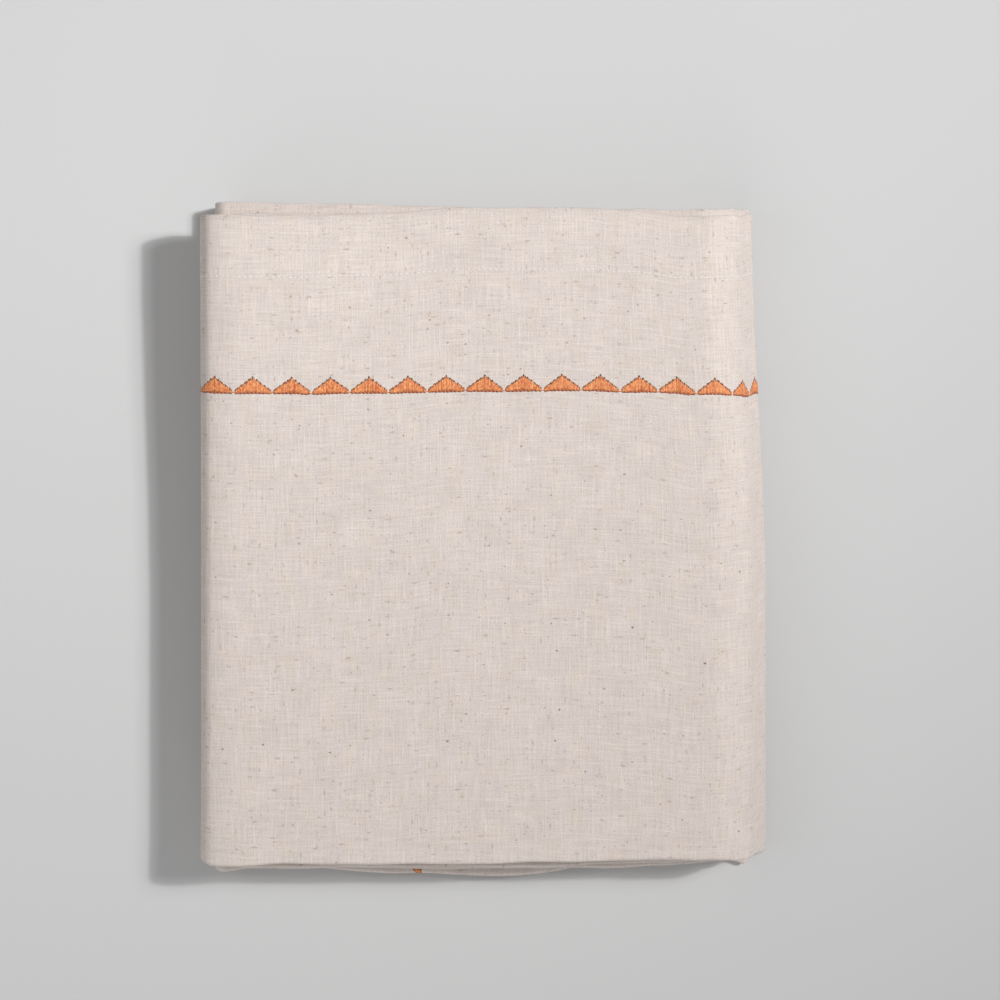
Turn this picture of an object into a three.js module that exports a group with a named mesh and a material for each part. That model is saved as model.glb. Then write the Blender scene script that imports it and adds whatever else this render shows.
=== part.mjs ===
// A hemmed linen tablecloth with a border of stitched orange triangles, folded to a flat bundle.
//
// The cloth is folded twice across its width, to a strip of four layers that lies along X. Its ends are
// folded in twice to its middle and it closes like a book, so six panels of four layers lie on each
// other. The spine of the book is at the right, and the strip's first layer is on the outside all round.
//
// The bundle rests on z = 0. Back (+Y) is the side with the hems, front (-Y) the side with the folds.
import * as THREE from "three";

// Driving dimensions, in millimetres and degrees.
const cloth = {
  thickness: 1.05,
  hemDepth: 34,
  hemExtra: 0.3, // what the turned-in cloth adds on the wrong side
  hemStepRun: 1.5, // how far the step at the end of a hem runs
};

// Each layer of the strip by its height above the strip's middle. The first and fourth are outermost.
const layer = { first: 2.7, second: 0.7, third: -0.7, fourth: -2.7 };

// The outer front fold is pressed: its depth is this share of half its height. The inner front fold lies
// behind it by the setback.
const pressedFold = { depthShare: 0.6, innerSetback: 1.6 };

// The folds of the strip by where they lie along X. Each panel lies one pitch above the next.
const bundle = {
  panelPitch: 8,
  upperEnd: -144.5,
  upperInnerFold: 127,
  upperLeftFold: -148.3,
  spineStart: 123.35,
  lowerLeftFold: -142.7,
  lowerInnerFold: 136.5,
  lowerEnd: -134,
};

// A left bend is two round quarters with a straight rise between them.
const leftBendRadius = 3.8;

// The spine falls in a wide shoulder, a straight slope and a tight turn on the table.
const spine = { shoulderRadius: 21.75, slopeAngle: 65, footRadius: 5 };

// The spine leans in towards the back, the middle of the bundle is a little lower than its edges, and the
// upper half rises at the left towards the back.
const unevenness = {
  spineLean: 7.6,
  leanFromY: -30,
  leanToY: 176,
  leanFromX: 20,
  leanToX: 150,
  dish: 0.03,
  dishHalfWidth: 150,
  dishHalfDepth: 180,
  cornerRise: 5.5,
  riseFromX: -20,
  riseToX: -150,
  riseFromY: -20,
  riseToY: 160,
  riseFromZ: 23.2,
  riseToZ: 46.5,
};

// The bend after each panel takes up this share of the next panel's distance along the strip.
const bendShare = 0.1;

// Where the strip's front fold, its two hems and its back fold lie in Y, by the distance along it in
// panels. Each bend begins at a whole number.
const edgeLines = [
  { at: 0.0, front: -173.9, firstHem: 174.7, secondHem: 173.7, backFold: 173.2 },
  { at: 0.5, front: -173.5, firstHem: 175.7, secondHem: 175.2, backFold: 174.2 },
  { at: 1.0, front: -173.3, firstHem: 176.2, secondHem: 174.7, backFold: 175.2 },
  { at: 1.1, front: -173.8, firstHem: 175.9, secondHem: 175.3, backFold: 175.1 },
  { at: 1.2, front: -176.3, firstHem: 175.7, secondHem: 176.1, backFold: 174.9 },
  { at: 1.5, front: -178.6, firstHem: 175.7, secondHem: 176.2, backFold: 174.7 },
  { at: 1.75, front: -178.3, firstHem: 175.6, secondHem: 175.7, backFold: 174.5 },
  { at: 1.95, front: -178.9, firstHem: 175.5, secondHem: 175.3, backFold: 174.3 },
  { at: 2.0, front: -175.3, firstHem: 175.9, secondHem: 175.5, backFold: 174.5 },
  { at: 2.05, front: -172.1, firstHem: 176.5, secondHem: 175.7, backFold: 174.7 },
  { at: 2.1, front: -174.8, firstHem: 176.9, secondHem: 176.1, backFold: 175.1 },
  { at: 2.2, front: -174.1, firstHem: 176.6, secondHem: 176.1, backFold: 175.3 },
  { at: 2.35, front: -174.0, firstHem: 177.0, secondHem: 176.7, backFold: 175.9 },
  { at: 2.58, front: -173.8, firstHem: 179.8, secondHem: 178.7, backFold: 177.1 },
  { at: 2.75, front: -172.9, firstHem: 179.6, secondHem: 179.5, backFold: 177.7 },
  { at: 2.87, front: -172.1, firstHem: 179.3, secondHem: 180.1, backFold: 178.3 },
  { at: 2.97, front: -172.5, firstHem: 176.4, secondHem: 179.9, backFold: 178.7 },
  { at: 3.0, front: -172.4, firstHem: 175.7, secondHem: 179.7, backFold: 178.9 },
  { at: 3.1, front: -171.7, firstHem: 176.1, secondHem: 181.1, backFold: 180.1 },
  { at: 3.2, front: -180.5, firstHem: 181.1, secondHem: 183.7, backFold: 182.7 },
  { at: 3.27, front: -177.7, firstHem: 180.9, secondHem: 182.1, backFold: 182.1 },
  { at: 3.5, front: -178.3, firstHem: 180.7, secondHem: 179.7, backFold: 181.7 },
  { at: 3.9, front: -180.3, firstHem: 185.3, secondHem: 183.7, backFold: 184.3 },
  { at: 4.0, front: -184.5, firstHem: 186.5, secondHem: 185.1, backFold: 185.5 },
  { at: 4.1, front: -183.9, firstHem: 186.6, secondHem: 184.9, backFold: 185.1 },
  { at: 4.12, front: -181.9, firstHem: 186.5, secondHem: 184.7, backFold: 184.9 },
  { at: 4.22, front: -181.1, firstHem: 185.1, secondHem: 183.9, backFold: 184.1 },
  { at: 4.34, front: -180.4, firstHem: 184.9, secondHem: 183.5, backFold: 183.7 },
  { at: 4.54, front: -181.2, firstHem: 183.3, secondHem: 182.3, backFold: 182.7 },
  { at: 4.76, front: -180.4, firstHem: 180.7, secondHem: 180.1, backFold: 180.1 },
  { at: 4.9, front: -179.5, firstHem: 179.3, secondHem: 178.3, backFold: 177.9 },
  { at: 4.96, front: -176.9, firstHem: 179.0, secondHem: 178.2, backFold: 177.5 },
  { at: 5.0, front: -176.1, firstHem: 178.9, secondHem: 178.1, backFold: 177.3 },
  { at: 5.1, front: -175.7, firstHem: 178.9, secondHem: 178.1, backFold: 177.3 },
  { at: 5.36, front: -179.7, firstHem: 181.3, secondHem: 180.9, backFold: 180.3 },
  { at: 5.41, front: -183.3, firstHem: 181.7, secondHem: 181.3, backFold: 180.7 },
  { at: 5.48, front: -186.1, firstHem: 182.0, secondHem: 181.6, backFold: 181.0 },
  { at: 5.55, front: -186.6, firstHem: 182.2, secondHem: 181.8, backFold: 181.2 },
  { at: 5.61, front: -186.1, firstHem: 182.3, secondHem: 181.9, backFold: 181.4 },
  { at: 5.71, front: -184.9, firstHem: 182.6, secondHem: 182.2, backFold: 181.7 },
  { at: 5.78, front: -184.3, firstHem: 182.9, secondHem: 182.5, backFold: 182.0 },
  { at: 5.82, front: -183.5, firstHem: 183.1, secondHem: 182.7, backFold: 182.2 },
  { at: 5.88, front: -180.3, firstHem: 183.5, secondHem: 182.9, backFold: 182.6 },
  { at: 6.0, front: -179.3, firstHem: 184.7, secondHem: 183.7, backFold: 184.1 },
];

// The border: triangles side by side on a narrow band of stitches, their points towards the hem.
const border = {
  baseFromHem: 98,
  bandHeight: 1.3,
  triangleHeight: 9.6,
  triangleWidth: 18.4,
  pitch: 20.88,
  peakAtX: 104.1, // one peak on the top panel, which places the row along the cloth
  thickness: 0.6,
  clearance: 0.3,
  lowestZ: 4, // the row's solid ends above the table, in the foot of the spine
  leastRun: 0.4,
};

// How finely runs, bends and the strip's section are divided.
const steps = {
  innerBend: 6,
  leftQuarter: 4,
  shoulder: 6,
  slope: 2,
  foot: 5,
  frontFold: 6,
  smallFold: 4,
  layerRun: 3,
};

const halfCloth = cloth.thickness / 2;
const baseHeight = layer.first + halfCloth;
const radians = THREE.MathUtils.degToRad;
const smooth = THREE.MathUtils.smoothstep;

// The middle line of the strip in the XZ plane, drawn like a walk in which every bend turns right. A
// station keeps its place, heading, distance in panels and the cloth's length on the first layer.
class StripWalk {
  constructor(x, z) {
    this.x = x;
    this.z = z;
    this.heading = 0;
    this.panels = 0;
    this.length = 0;
    this.stations = [];
    this.mark();
  }

  mark() {
    const { x, z, heading, panels, length } = this;
    this.stations.push({ x, z, heading, panels, length });
  }

  advance(distance) {
    this.x += distance * Math.cos(this.heading);
    this.z += distance * Math.sin(this.heading);
    this.length += distance;
  }

  // A panel's flat run to the given X, with a station at each row of the edge lines and at the given
  // distances from its start.
  runTo(x, distances = []) {
    const run = Math.abs(x - this.x);
    const start = this.panels;
    const end = Math.floor(start) + 1;
    const rows = edgeLines.filter((row) => row.at > start + 0.001 && row.at < end - 0.001);
    const fromRows = rows.map((row) => (run * (row.at - start)) / (end - start));
    const places = [0, ...fromRows, ...distances, run].sort((a, b) => a - b);
    for (let i = 1; i < places.length; i += 1) {
      this.advance(places[i] - places[i - 1]);
      this.panels = i + 1 < places.length ? start + ((end - start) * places[i]) / run : end;
      this.mark();
    }
  }

  slope(distance, count) {
    for (let i = 0; i < count; i += 1) {
      this.advance(distance / count);
      this.mark();
    }
  }

  // A bend about a centre on the right-hand side of the walk.
  turn(radius, angle, count, panelShare = bendShare) {
    const startPanels = this.panels;
    const centreX = this.x + radius * Math.sin(this.heading);
    const centreZ = this.z - radius * Math.cos(this.heading);
    const startHeading = this.heading;
    const startLength = this.length;
    for (let i = 1; i <= count; i += 1) {
      const turned = (radians(angle) * i) / count;
      this.heading = startHeading - turned;
      this.x = centreX - radius * Math.sin(this.heading);
      this.z = centreZ + radius * Math.cos(this.heading);
      this.length = startLength + (radius + layer.first) * turned;
      this.panels = startPanels + (panelShare * i) / count;
      this.mark();
    }
  }

  // The bend at the left that joins two panels with one more between them.
  leftBend() {
    this.turn(leftBendRadius, 90, steps.leftQuarter, bendShare / 2);
    this.slope(2 * (bundle.panelPitch - leftBendRadius), 1);
    this.turn(leftBendRadius, 90, steps.leftQuarter, bendShare / 2);
  }
}

function hemShares(run) {
  return [cloth.hemDepth / run, (cloth.hemDepth + cloth.hemStepRun) / run];
}

// Walks the whole strip, from the free end in the upper half of the bundle to the one in the lower half.
function walkStrip() {
  const hem = [cloth.hemDepth, cloth.hemDepth + cloth.hemStepRun];
  const lastRun = bundle.lowerInnerFold - bundle.lowerEnd;
  const half = bundle.panelPitch / 2;

  const walk = new StripWalk(bundle.upperEnd, baseHeight + 4 * bundle.panelPitch);
  walk.runTo(bundle.upperInnerFold, hem);
  walk.turn(half, 180, steps.innerBend);
  walk.runTo(bundle.upperLeftFold);
  walk.leftBend();
  walk.runTo(bundle.spineStart);

  const drop = 5 * bundle.panelPitch;
  const slopeSine = Math.sin(radians(spine.slopeAngle));
  const slopeCosine = Math.cos(radians(spine.slopeAngle));
  const roundDrop = spine.shoulderRadius * (1 - slopeCosine) + spine.footRadius * (1 + slopeCosine);
  walk.turn(spine.shoulderRadius, spine.slopeAngle, steps.shoulder);
  walk.slope((drop - roundDrop) / slopeSine, steps.slope);
  walk.turn(spine.footRadius, 180 - spine.slopeAngle, steps.foot);

  walk.runTo(bundle.lowerLeftFold);
  walk.leftBend();
  walk.runTo(bundle.lowerInnerFold);
  walk.turn(half, 180, steps.innerBend);
  walk.runTo(bundle.lowerEnd, hem.map((depth) => lastRun - depth));
  return walk.stations;
}

// The edge lines at a distance along the strip, eased from one row of the table to the next.
function linesAt(panels) {
  const last = edgeLines.length - 1;
  const next = Math.min(Math.max(edgeLines.findIndex((row) => row.at > panels), 1), last);
  const index = panels >= edgeLines[last].at ? last : next;
  const before = edgeLines[index - 1];
  const after = edgeLines[index];
  const share = smooth(panels, before.at, after.at);
  const mix = (name) => THREE.MathUtils.lerp(before[name], after[name], share);
  return {
    front: mix("front"),
    firstHem: mix("firstHem"),
    secondHem: mix("secondHem"),
    backFold: mix("backFold"),
  };
}

// One layer's flat run, and one round or oval fold, as points of the strip's section. Each point has its
// height in the strip, its Y, the direction that the cloth's right side faces, and its share of a hem's
// extra.
function flatRun(height, fromY, toY, facing, shares, hem) {
  return shares.map((share, i) => ({
    height,
    y: THREE.MathUtils.lerp(fromY, toY, share),
    faceHeight: facing,
    faceY: 0,
    hem: hem[i] ?? 0,
  }));
}

function roundFold(middle, centreY, radius, depth, startSide, towardsY, facing, count) {
  const points = [];
  for (let i = 1; i < count; i += 1) {
    const angle = (Math.PI * i) / count;
    const outHeight = startSide * Math.cos(angle);
    const outY = towardsY * Math.sin(angle);
    const steepness = Math.hypot(depth * outHeight, radius * outY);
    points.push({
      height: middle + radius * outHeight,
      y: centreY + depth * outY,
      faceHeight: (facing * depth * outHeight) / steepness,
      faceY: (facing * radius * outY) / steepness,
      hem: 0,
    });
  }
  return points;
}

// The middle line of the cloth across the strip: down the first layer, round the front fold, up the fourth,
// round the back fold, down the third, round the inner front fold and up the second.
function sectionPoints(lines) {
  const backRadius = (layer.third - layer.fourth) / 2;
  const innerRadius = (layer.second - layer.third) / 2;
  const frontDepth = layer.first * pressedFold.depthShare;
  const frontCentre = lines.front + halfCloth + frontDepth;
  const innerCentre = frontCentre + pressedFold.innerSetback;
  const backCentre = lines.backFold - halfCloth - backRadius;
  const even = Array.from({ length: steps.layerRun + 1 }, (_, i) => i / steps.layerRun);
  const firstLength = lines.firstHem - frontCentre;
  const secondLength = lines.secondHem - innerCentre;
  const borderTop = (border.baseFromHem - border.triangleHeight) / firstLength;
  const borderBase = border.baseFromHem / firstLength;
  const firstShares = [0, ...hemShares(firstLength), borderTop, borderBase, 0.6, 1];
  const fromSecondHem = [0, ...hemShares(secondLength), 0.4, 0.7, 1];
  const secondShares = fromSecondHem.map((share) => 1 - share).reverse();

  return [
    ...flatRun(layer.first, lines.firstHem, frontCentre, 1, firstShares, [1, 1]),
    ...roundFold(0, frontCentre, layer.first, frontDepth, 1, -1, 1, steps.frontFold),
    ...flatRun(layer.fourth, frontCentre, backCentre, -1, even, []),
    ...roundFold(layer.third - backRadius, backCentre, backRadius, backRadius, -1, 1, 1, steps.smallFold),
    ...flatRun(layer.third, backCentre, innerCentre, 1, even, []),
    ...roundFold(0, innerCentre, innerRadius, innerRadius, -1, -1, -1, steps.smallFold),
    ...flatRun(layer.second, innerCentre, lines.secondHem, -1, secondShares, [0, 0, 0, 0, 1, 1]),
  ];
}

// Brings a point of the strip, given by a station, a height in the strip and its Y, into the bundle.
function place(station, height, y) {
  const x = station.x - height * Math.sin(station.heading);
  const z = station.z + height * Math.cos(station.heading);
  const lean = smooth(y, unevenness.leanFromY, unevenness.leanToY);
  const leanShare = smooth(x, unevenness.leanFromX, unevenness.leanToX);
  const acrossX = Math.max(0, 1 - (x / unevenness.dishHalfWidth) ** 2);
  const acrossY = Math.max(0, 1 - (y / unevenness.dishHalfDepth) ** 2);
  const towardsLeft = smooth(-x, -unevenness.riseFromX, -unevenness.riseToX);
  const towardsBack = smooth(y, unevenness.riseFromY, unevenness.riseToY);
  const upward = THREE.MathUtils.inverseLerp(unevenness.riseFromZ, unevenness.riseToZ, z);
  const rise = unevenness.cornerRise * towardsLeft * towardsBack * Math.max(0, upward);
  return new THREE.Vector3(
    x - unevenness.spineLean * lean * leanShare,
    y,
    z * (1 - unevenness.dish * acrossX * acrossY) + rise,
  );
}

// A closed solid from rings of as many points each: neighbouring rings are joined, and the first and last
// are capped. A ring runs along one side of a ribbon and back along the other, so a cap is a row of quads.
function solidFromRings(rings) {
  const count = rings[0].length;
  const positions = rings.flat().flatMap((point) => [point.x, point.y, point.z]);
  const indices = [];
  const quad = (a, b, c, d) => indices.push(a, b, c, a, c, d);
  for (let i = 0; i + 1 < rings.length; i += 1) {
    for (let j = 0; j < count; j += 1) {
      const k = (j + 1) % count;
      quad(i * count + j, i * count + k, (i + 1) * count + k, (i + 1) * count + j);
    }
  }
  const last = (rings.length - 1) * count;
  for (let j = 0; j + 1 < count / 2; j += 1) {
    const back = count - 1 - j;
    quad(j, back, back - 1, j + 1);
    quad(last + j, last + j + 1, last + back - 1, last + back);
  }
  const geometry = new THREE.BufferGeometry();
  geometry.setAttribute("position", new THREE.Float32BufferAttribute(positions, 3));
  geometry.setIndex(indices);
  geometry.computeVertexNormals();
  return geometry;
}

function clothGeometry(stations) {
  const total = stations[stations.length - 1].length;
  const rings = stations.map((station, i) => {
    const fromEnd = Math.min(station.length, total - station.length);
    const sideHem = fromEnd < cloth.hemDepth + cloth.hemStepRun / 2 ? 1 : 0;
    const middle = sectionPoints(linesAt(station.panels));
    const side = (point, offset) => place(
      station,
      point.height + point.faceHeight * offset,
      point.y + point.faceY * offset,
    );
    const right = middle.map((point) => side(point, halfCloth));
    const wrong = middle.map((point) => {
      const extra = cloth.hemExtra * Math.max(point.hem, sideHem);
      return side(point, -halfCloth - extra);
    });
    return [...right, ...wrong.reverse()];
  });
  return solidFromRings(rings);
}

// The cloth's length, on the first layer, at an X on the top panel.
function lengthAtTop(stations, x) {
  const spineStart = stations.find((station) => station.panels === 3);
  return spineStart.length - (spineStart.x - x);
}

// The height of the border above its base at a length along the cloth, counted from one of its peaks.
function borderHeight(lengthFromPeak) {
  const { pitch, triangleWidth, triangleHeight, bandHeight } = border;
  const inPitch = THREE.MathUtils.euclideanModulo(lengthFromPeak + pitch / 2, pitch);
  const fromPeak = Math.abs(inPitch - pitch / 2);
  return Math.max(bandHeight, triangleHeight * (1 - fromPeak / (triangleWidth / 2)));
}

// The lengths at which the border needs a ring: its corners, and the stations of the cloth below it.
function borderLengths(covered, peak) {
  const from = covered[0].length;
  const to = covered[covered.length - 1].length;
  const foot = (border.triangleWidth / 2) * (1 - border.bandHeight / border.triangleHeight);
  const lengths = covered.map((station) => station.length);
  const firstPeak = Math.floor((from - peak) / border.pitch);
  const lastPeak = Math.ceil((to - peak) / border.pitch);
  for (let n = firstPeak; n <= lastPeak; n += 1) {
    const middle = peak + n * border.pitch;
    lengths.push(middle - foot, middle, middle + foot);
  }
  const inside = lengths.filter((length) => length >= from && length <= to).sort((a, b) => a - b);
  return inside.filter((length, i) => i === 0 || length - inside[i - 1] > border.leastRun);
}

// The border lies on the first layer from the upper left bend to the foot of the spine. Between two
// stations it follows the straight line between them, as the cloth's own face does.
function borderGeometry(stations) {
  const inner = layer.first + halfCloth + border.clearance;
  const outer = inner + border.thickness;
  const isHigh = (station) => place(station, outer, 0).z > border.lowestZ;
  const isOnTop = ({ panels }) => panels >= 2 && panels < 3 + 2.5 * bendShare;
  const covered = stations.filter((station) => isOnTop(station) && isHigh(station));
  const peak = lengthAtTop(stations, border.peakAtX);

  const rings = borderLengths(covered, peak).map((length) => {
    const next = Math.max(1, covered.findIndex((station) => station.length >= length));
    const [before, after] = [covered[next - 1], covered[next]];
    const share = (length - before.length) / (after.length - before.length);
    const corner = (height, aboveBase) => {
      const at = (station) => {
        const y = linesAt(station.panels).firstHem - border.baseFromHem + aboveBase;
        return place(station, height, y);
      };
      return at(before).lerp(at(after), share);
    };
    const top = borderHeight(length - peak);
    return [corner(outer, top), corner(outer, 0), corner(inner, 0), corner(inner, top)];
  });
  return solidFromRings(rings);
}

const materials = {
  linen: new THREE.MeshStandardMaterial({ color: 0xdacec4, roughness: 0.92, metalness: 0 }),
  thread: new THREE.MeshStandardMaterial({ color: 0xdb7a41, roughness: 0.6, metalness: 0 }),
};

function named(name, geometry, material) {
  const mesh = new THREE.Mesh(geometry, material);
  mesh.name = name;
  return mesh;
}

const stations = walkStrip();
const tablecloth = new THREE.Group();
tablecloth.add(named("tablecloth", clothGeometry(stations), materials.linen));
tablecloth.add(named("embroidered_border", borderGeometry(stations), materials.thread));

export default tablecloth;
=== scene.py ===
"""A folded linen tablecloth with a stitched border of orange triangles, dressed around its CAD model.

The cloth is one sheet. It is folded twice across its width to a strip of four layers, and the strip is
folded to six panels, three on three, with the spine of that book at the right (+X). Lengths in the classes
are millimetres, in the frame's own axes, and a mesh is turned to metres when it is made.
"""

import logging
import math
from collections.abc import Callable
from dataclasses import dataclass, field
from enum import Enum

import bpy
import numpy as np
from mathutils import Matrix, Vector


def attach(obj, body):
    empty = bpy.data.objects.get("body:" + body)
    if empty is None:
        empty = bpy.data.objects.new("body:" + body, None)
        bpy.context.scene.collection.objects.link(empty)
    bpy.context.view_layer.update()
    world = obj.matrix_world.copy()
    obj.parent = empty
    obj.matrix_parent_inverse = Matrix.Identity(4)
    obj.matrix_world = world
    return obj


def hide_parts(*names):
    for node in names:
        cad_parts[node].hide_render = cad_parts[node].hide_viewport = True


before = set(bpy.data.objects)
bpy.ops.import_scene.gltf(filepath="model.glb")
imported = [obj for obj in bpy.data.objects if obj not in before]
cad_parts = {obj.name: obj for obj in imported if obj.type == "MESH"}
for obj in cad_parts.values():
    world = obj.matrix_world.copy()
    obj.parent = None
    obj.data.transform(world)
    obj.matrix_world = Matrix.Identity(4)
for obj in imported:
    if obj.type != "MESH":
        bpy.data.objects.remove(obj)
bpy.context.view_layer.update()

log = logging.getLogger("tablecloth")

METRES = 0.001  # one millimetre
EACH_METRE = 1000.0  # millimetres in a metre
BODY = "root"

# along the strip, in panels: how long a bend is, and where the bends at the ends of the top panel and
# of the lowest one begin
BEND_SHARE = 0.1
TOP_BEND = 2.0
SPINE_BEND = 3.0
LOWER_BEND = 4.0

Array = np.ndarray
Colour = tuple[float, float, float]
Inputs = dict[str | int, object]
Socket = bpy.types.NodeSocket


def eased(value: Array, low: float | Array, high: float | Array) -> Array:
    """Rises smoothly from 0 at low to 1 at high.

    Args:
        value: where to read the curve.
        low: the value at which it leaves 0.
        high: the value at which it reaches 1.

    Returns:
        The curve's height, from 0 to 1.
    """
    share = np.clip((np.asarray(value, float) - low) / (high - low), 0.0, 1.0)
    return share * share * (3.0 - 2.0 * share)


@dataclass(frozen=True)
class Ramp:
    """A smooth rise from 0 to 1 between two values, of which the second may be the lower one."""

    start: float
    end: float

    def at(self, value: Array) -> Array:
        """The ramp's height at a value."""
        return eased(value, self.start, self.end)


def new_piece(name: str, points: Array, faces: list[list[int]], uv_map: str,
              places: Array) -> bpy.types.Object:
    """Makes a smooth piece of given vertices and faces, with a UV map.

    Args:
        name: the piece's name.
        points: the vertices, in millimetres.
        faces: the vertex numbers of each face.
        uv_map: the map's name.
        places: the place of each vertex in the map, in millimetres.

    Returns:
        The piece, in metres.
    """
    mesh = bpy.data.meshes.new(name)
    mesh.from_pydata((points * METRES).tolist(), [], faces)
    layer = mesh.uv_layers.new(name=uv_map)
    corners = np.empty(len(mesh.loops), np.int32)
    mesh.loops.foreach_get("vertex_index", corners)
    layer.uv.foreach_set("vector", (places[corners] * METRES).astype(np.float32).ravel())
    mesh.shade_smooth()
    mesh.update()
    piece = bpy.data.objects.new(name, mesh)
    bpy.context.scene.collection.objects.link(piece)
    return piece


@dataclass(frozen=True)
class Ripple:
    """A smooth unevenness that is the same each time: sine waves that run in many directions."""

    amplitude: float
    wavelength: float
    seed: int
    waves: int = 9
    spread: float = 0.45  # of the wavelengths, as a share
    change: tuple[float, float] = (1.2, 2.6)  # how far a wave shifts from surface to surface
    calm: float = 1.5  # keeps most of the sum within the amplitude

    def at(self, a: Array, b: Array, c: Array | float = 0.0) -> Array:
        """The unevenness at places on a surface.

        Args:
            a: the first coordinate on the surface.
            b: the second coordinate on the surface.
            c: which surface it is, such as the number of a layer. Near numbers give like ripples.

        Returns:
            The height of the ripple, mostly within its amplitude.
        """
        random = np.random.default_rng(self.seed)
        total = 0.0
        for _ in range(self.waves):
            direction = random.uniform(0.0, 2.0 * math.pi)
            length = self.wavelength * random.uniform(1.0 - self.spread, 1.0 + self.spread)
            phase = random.uniform(0.0, 2.0 * math.pi)
            change = random.uniform(*self.change)
            along = a * math.cos(direction) + b * math.sin(direction)
            total = total + np.sin(2.0 * math.pi * along / length + phase + change * c)
        return self.amplitude * total / math.sqrt(0.5 * self.waves) / self.calm


@dataclass(frozen=True)
class Cloth:
    """The cloth's thickness and its hems."""

    thickness: float = 0.82
    hem_depth: float = 34.0
    hem_extra: float = 0.32  # what the turned-in cloth adds on the wrong side
    hem_rise: float = 0.26  # how far it lifts the right side
    hem_step: float = 2.2  # how wide the rise to the hem's thickness is
    edge_round: float = 0.42  # how far the rounded edge of a hem stands out
    edge_slim: float = 0.5  # the share of its thickness that the edge of an end hem keeps

    @property
    def half(self) -> float:
        """Half of the cloth's thickness."""
        return self.thickness / 2.0


@dataclass(frozen=True)
class Layers:
    """The four layers of the strip, by height above its middle."""

    first: float = 2.8
    second: float = 0.92
    third: float = -0.92
    fourth: float = -2.8
    front_depth: float = 1.65  # of the outer front fold, which is pressed flat
    inner_setback: float = 1.6  # how far the inner front fold lies behind the outer one


@dataclass(frozen=True)
class Bundle:
    """Where the strip's folds lie along X, and the spine that joins the two halves."""

    base_height: float = 3.225  # the strip's middle above the table on the lowest panel
    pitch: float = 8.0  # from one panel to the next
    first_level: int = 4  # the panels that lie below the one that the strip starts in
    top_level: int = 5
    upper_end: float = -144.5
    upper_inner_fold: float = 127.0
    upper_left_fold: float = -147.7
    spine_start: float = 123.35
    lower_left_fold: float = -142.7
    lower_inner_fold: float = 136.5
    lower_end: float = -134.0
    left_radius: float = 3.8  # of the two round quarters of a left bend
    shoulder_radius: float = 21.75
    slope_angle: float = 65.0
    slope_share: float = 0.06  # of a panel's distance along the strip
    foot_radius: float = 5.0


@dataclass(frozen=True)
class Fineness:
    """How finely the sheet is divided, along the strip and across it."""

    top_step: float = 4.6
    under_step: float = 9.0
    hidden_step: float = 12.0
    left_quarter: int = 10
    left_rise: int = 4
    inner_bend: int = 10
    shoulder: int = 16
    slope: int = 4
    foot: int = 12
    after_foot: tuple[float, ...] = (1.1, 2.2, 3.3, 4.4, 5.5)  # more stations, at the corner of the spine
    first_layer: int = 74
    fourth_layer: int = 22
    third_layer: int = 12
    second_layer: int = 16
    front_fold: int = 12
    small_fold: int = 8


@dataclass(frozen=True)
class EdgeRow:
    """Where the strip's front fold, its two hems and its back fold lie in Y, at a distance along the strip.

    The distance is in panels. Each bend begins at a whole number, and takes up the first part of the next
    panel's distance.
    """

    at: float
    front: float
    first_hem: float
    second_hem: float
    back_fold: float


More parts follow.
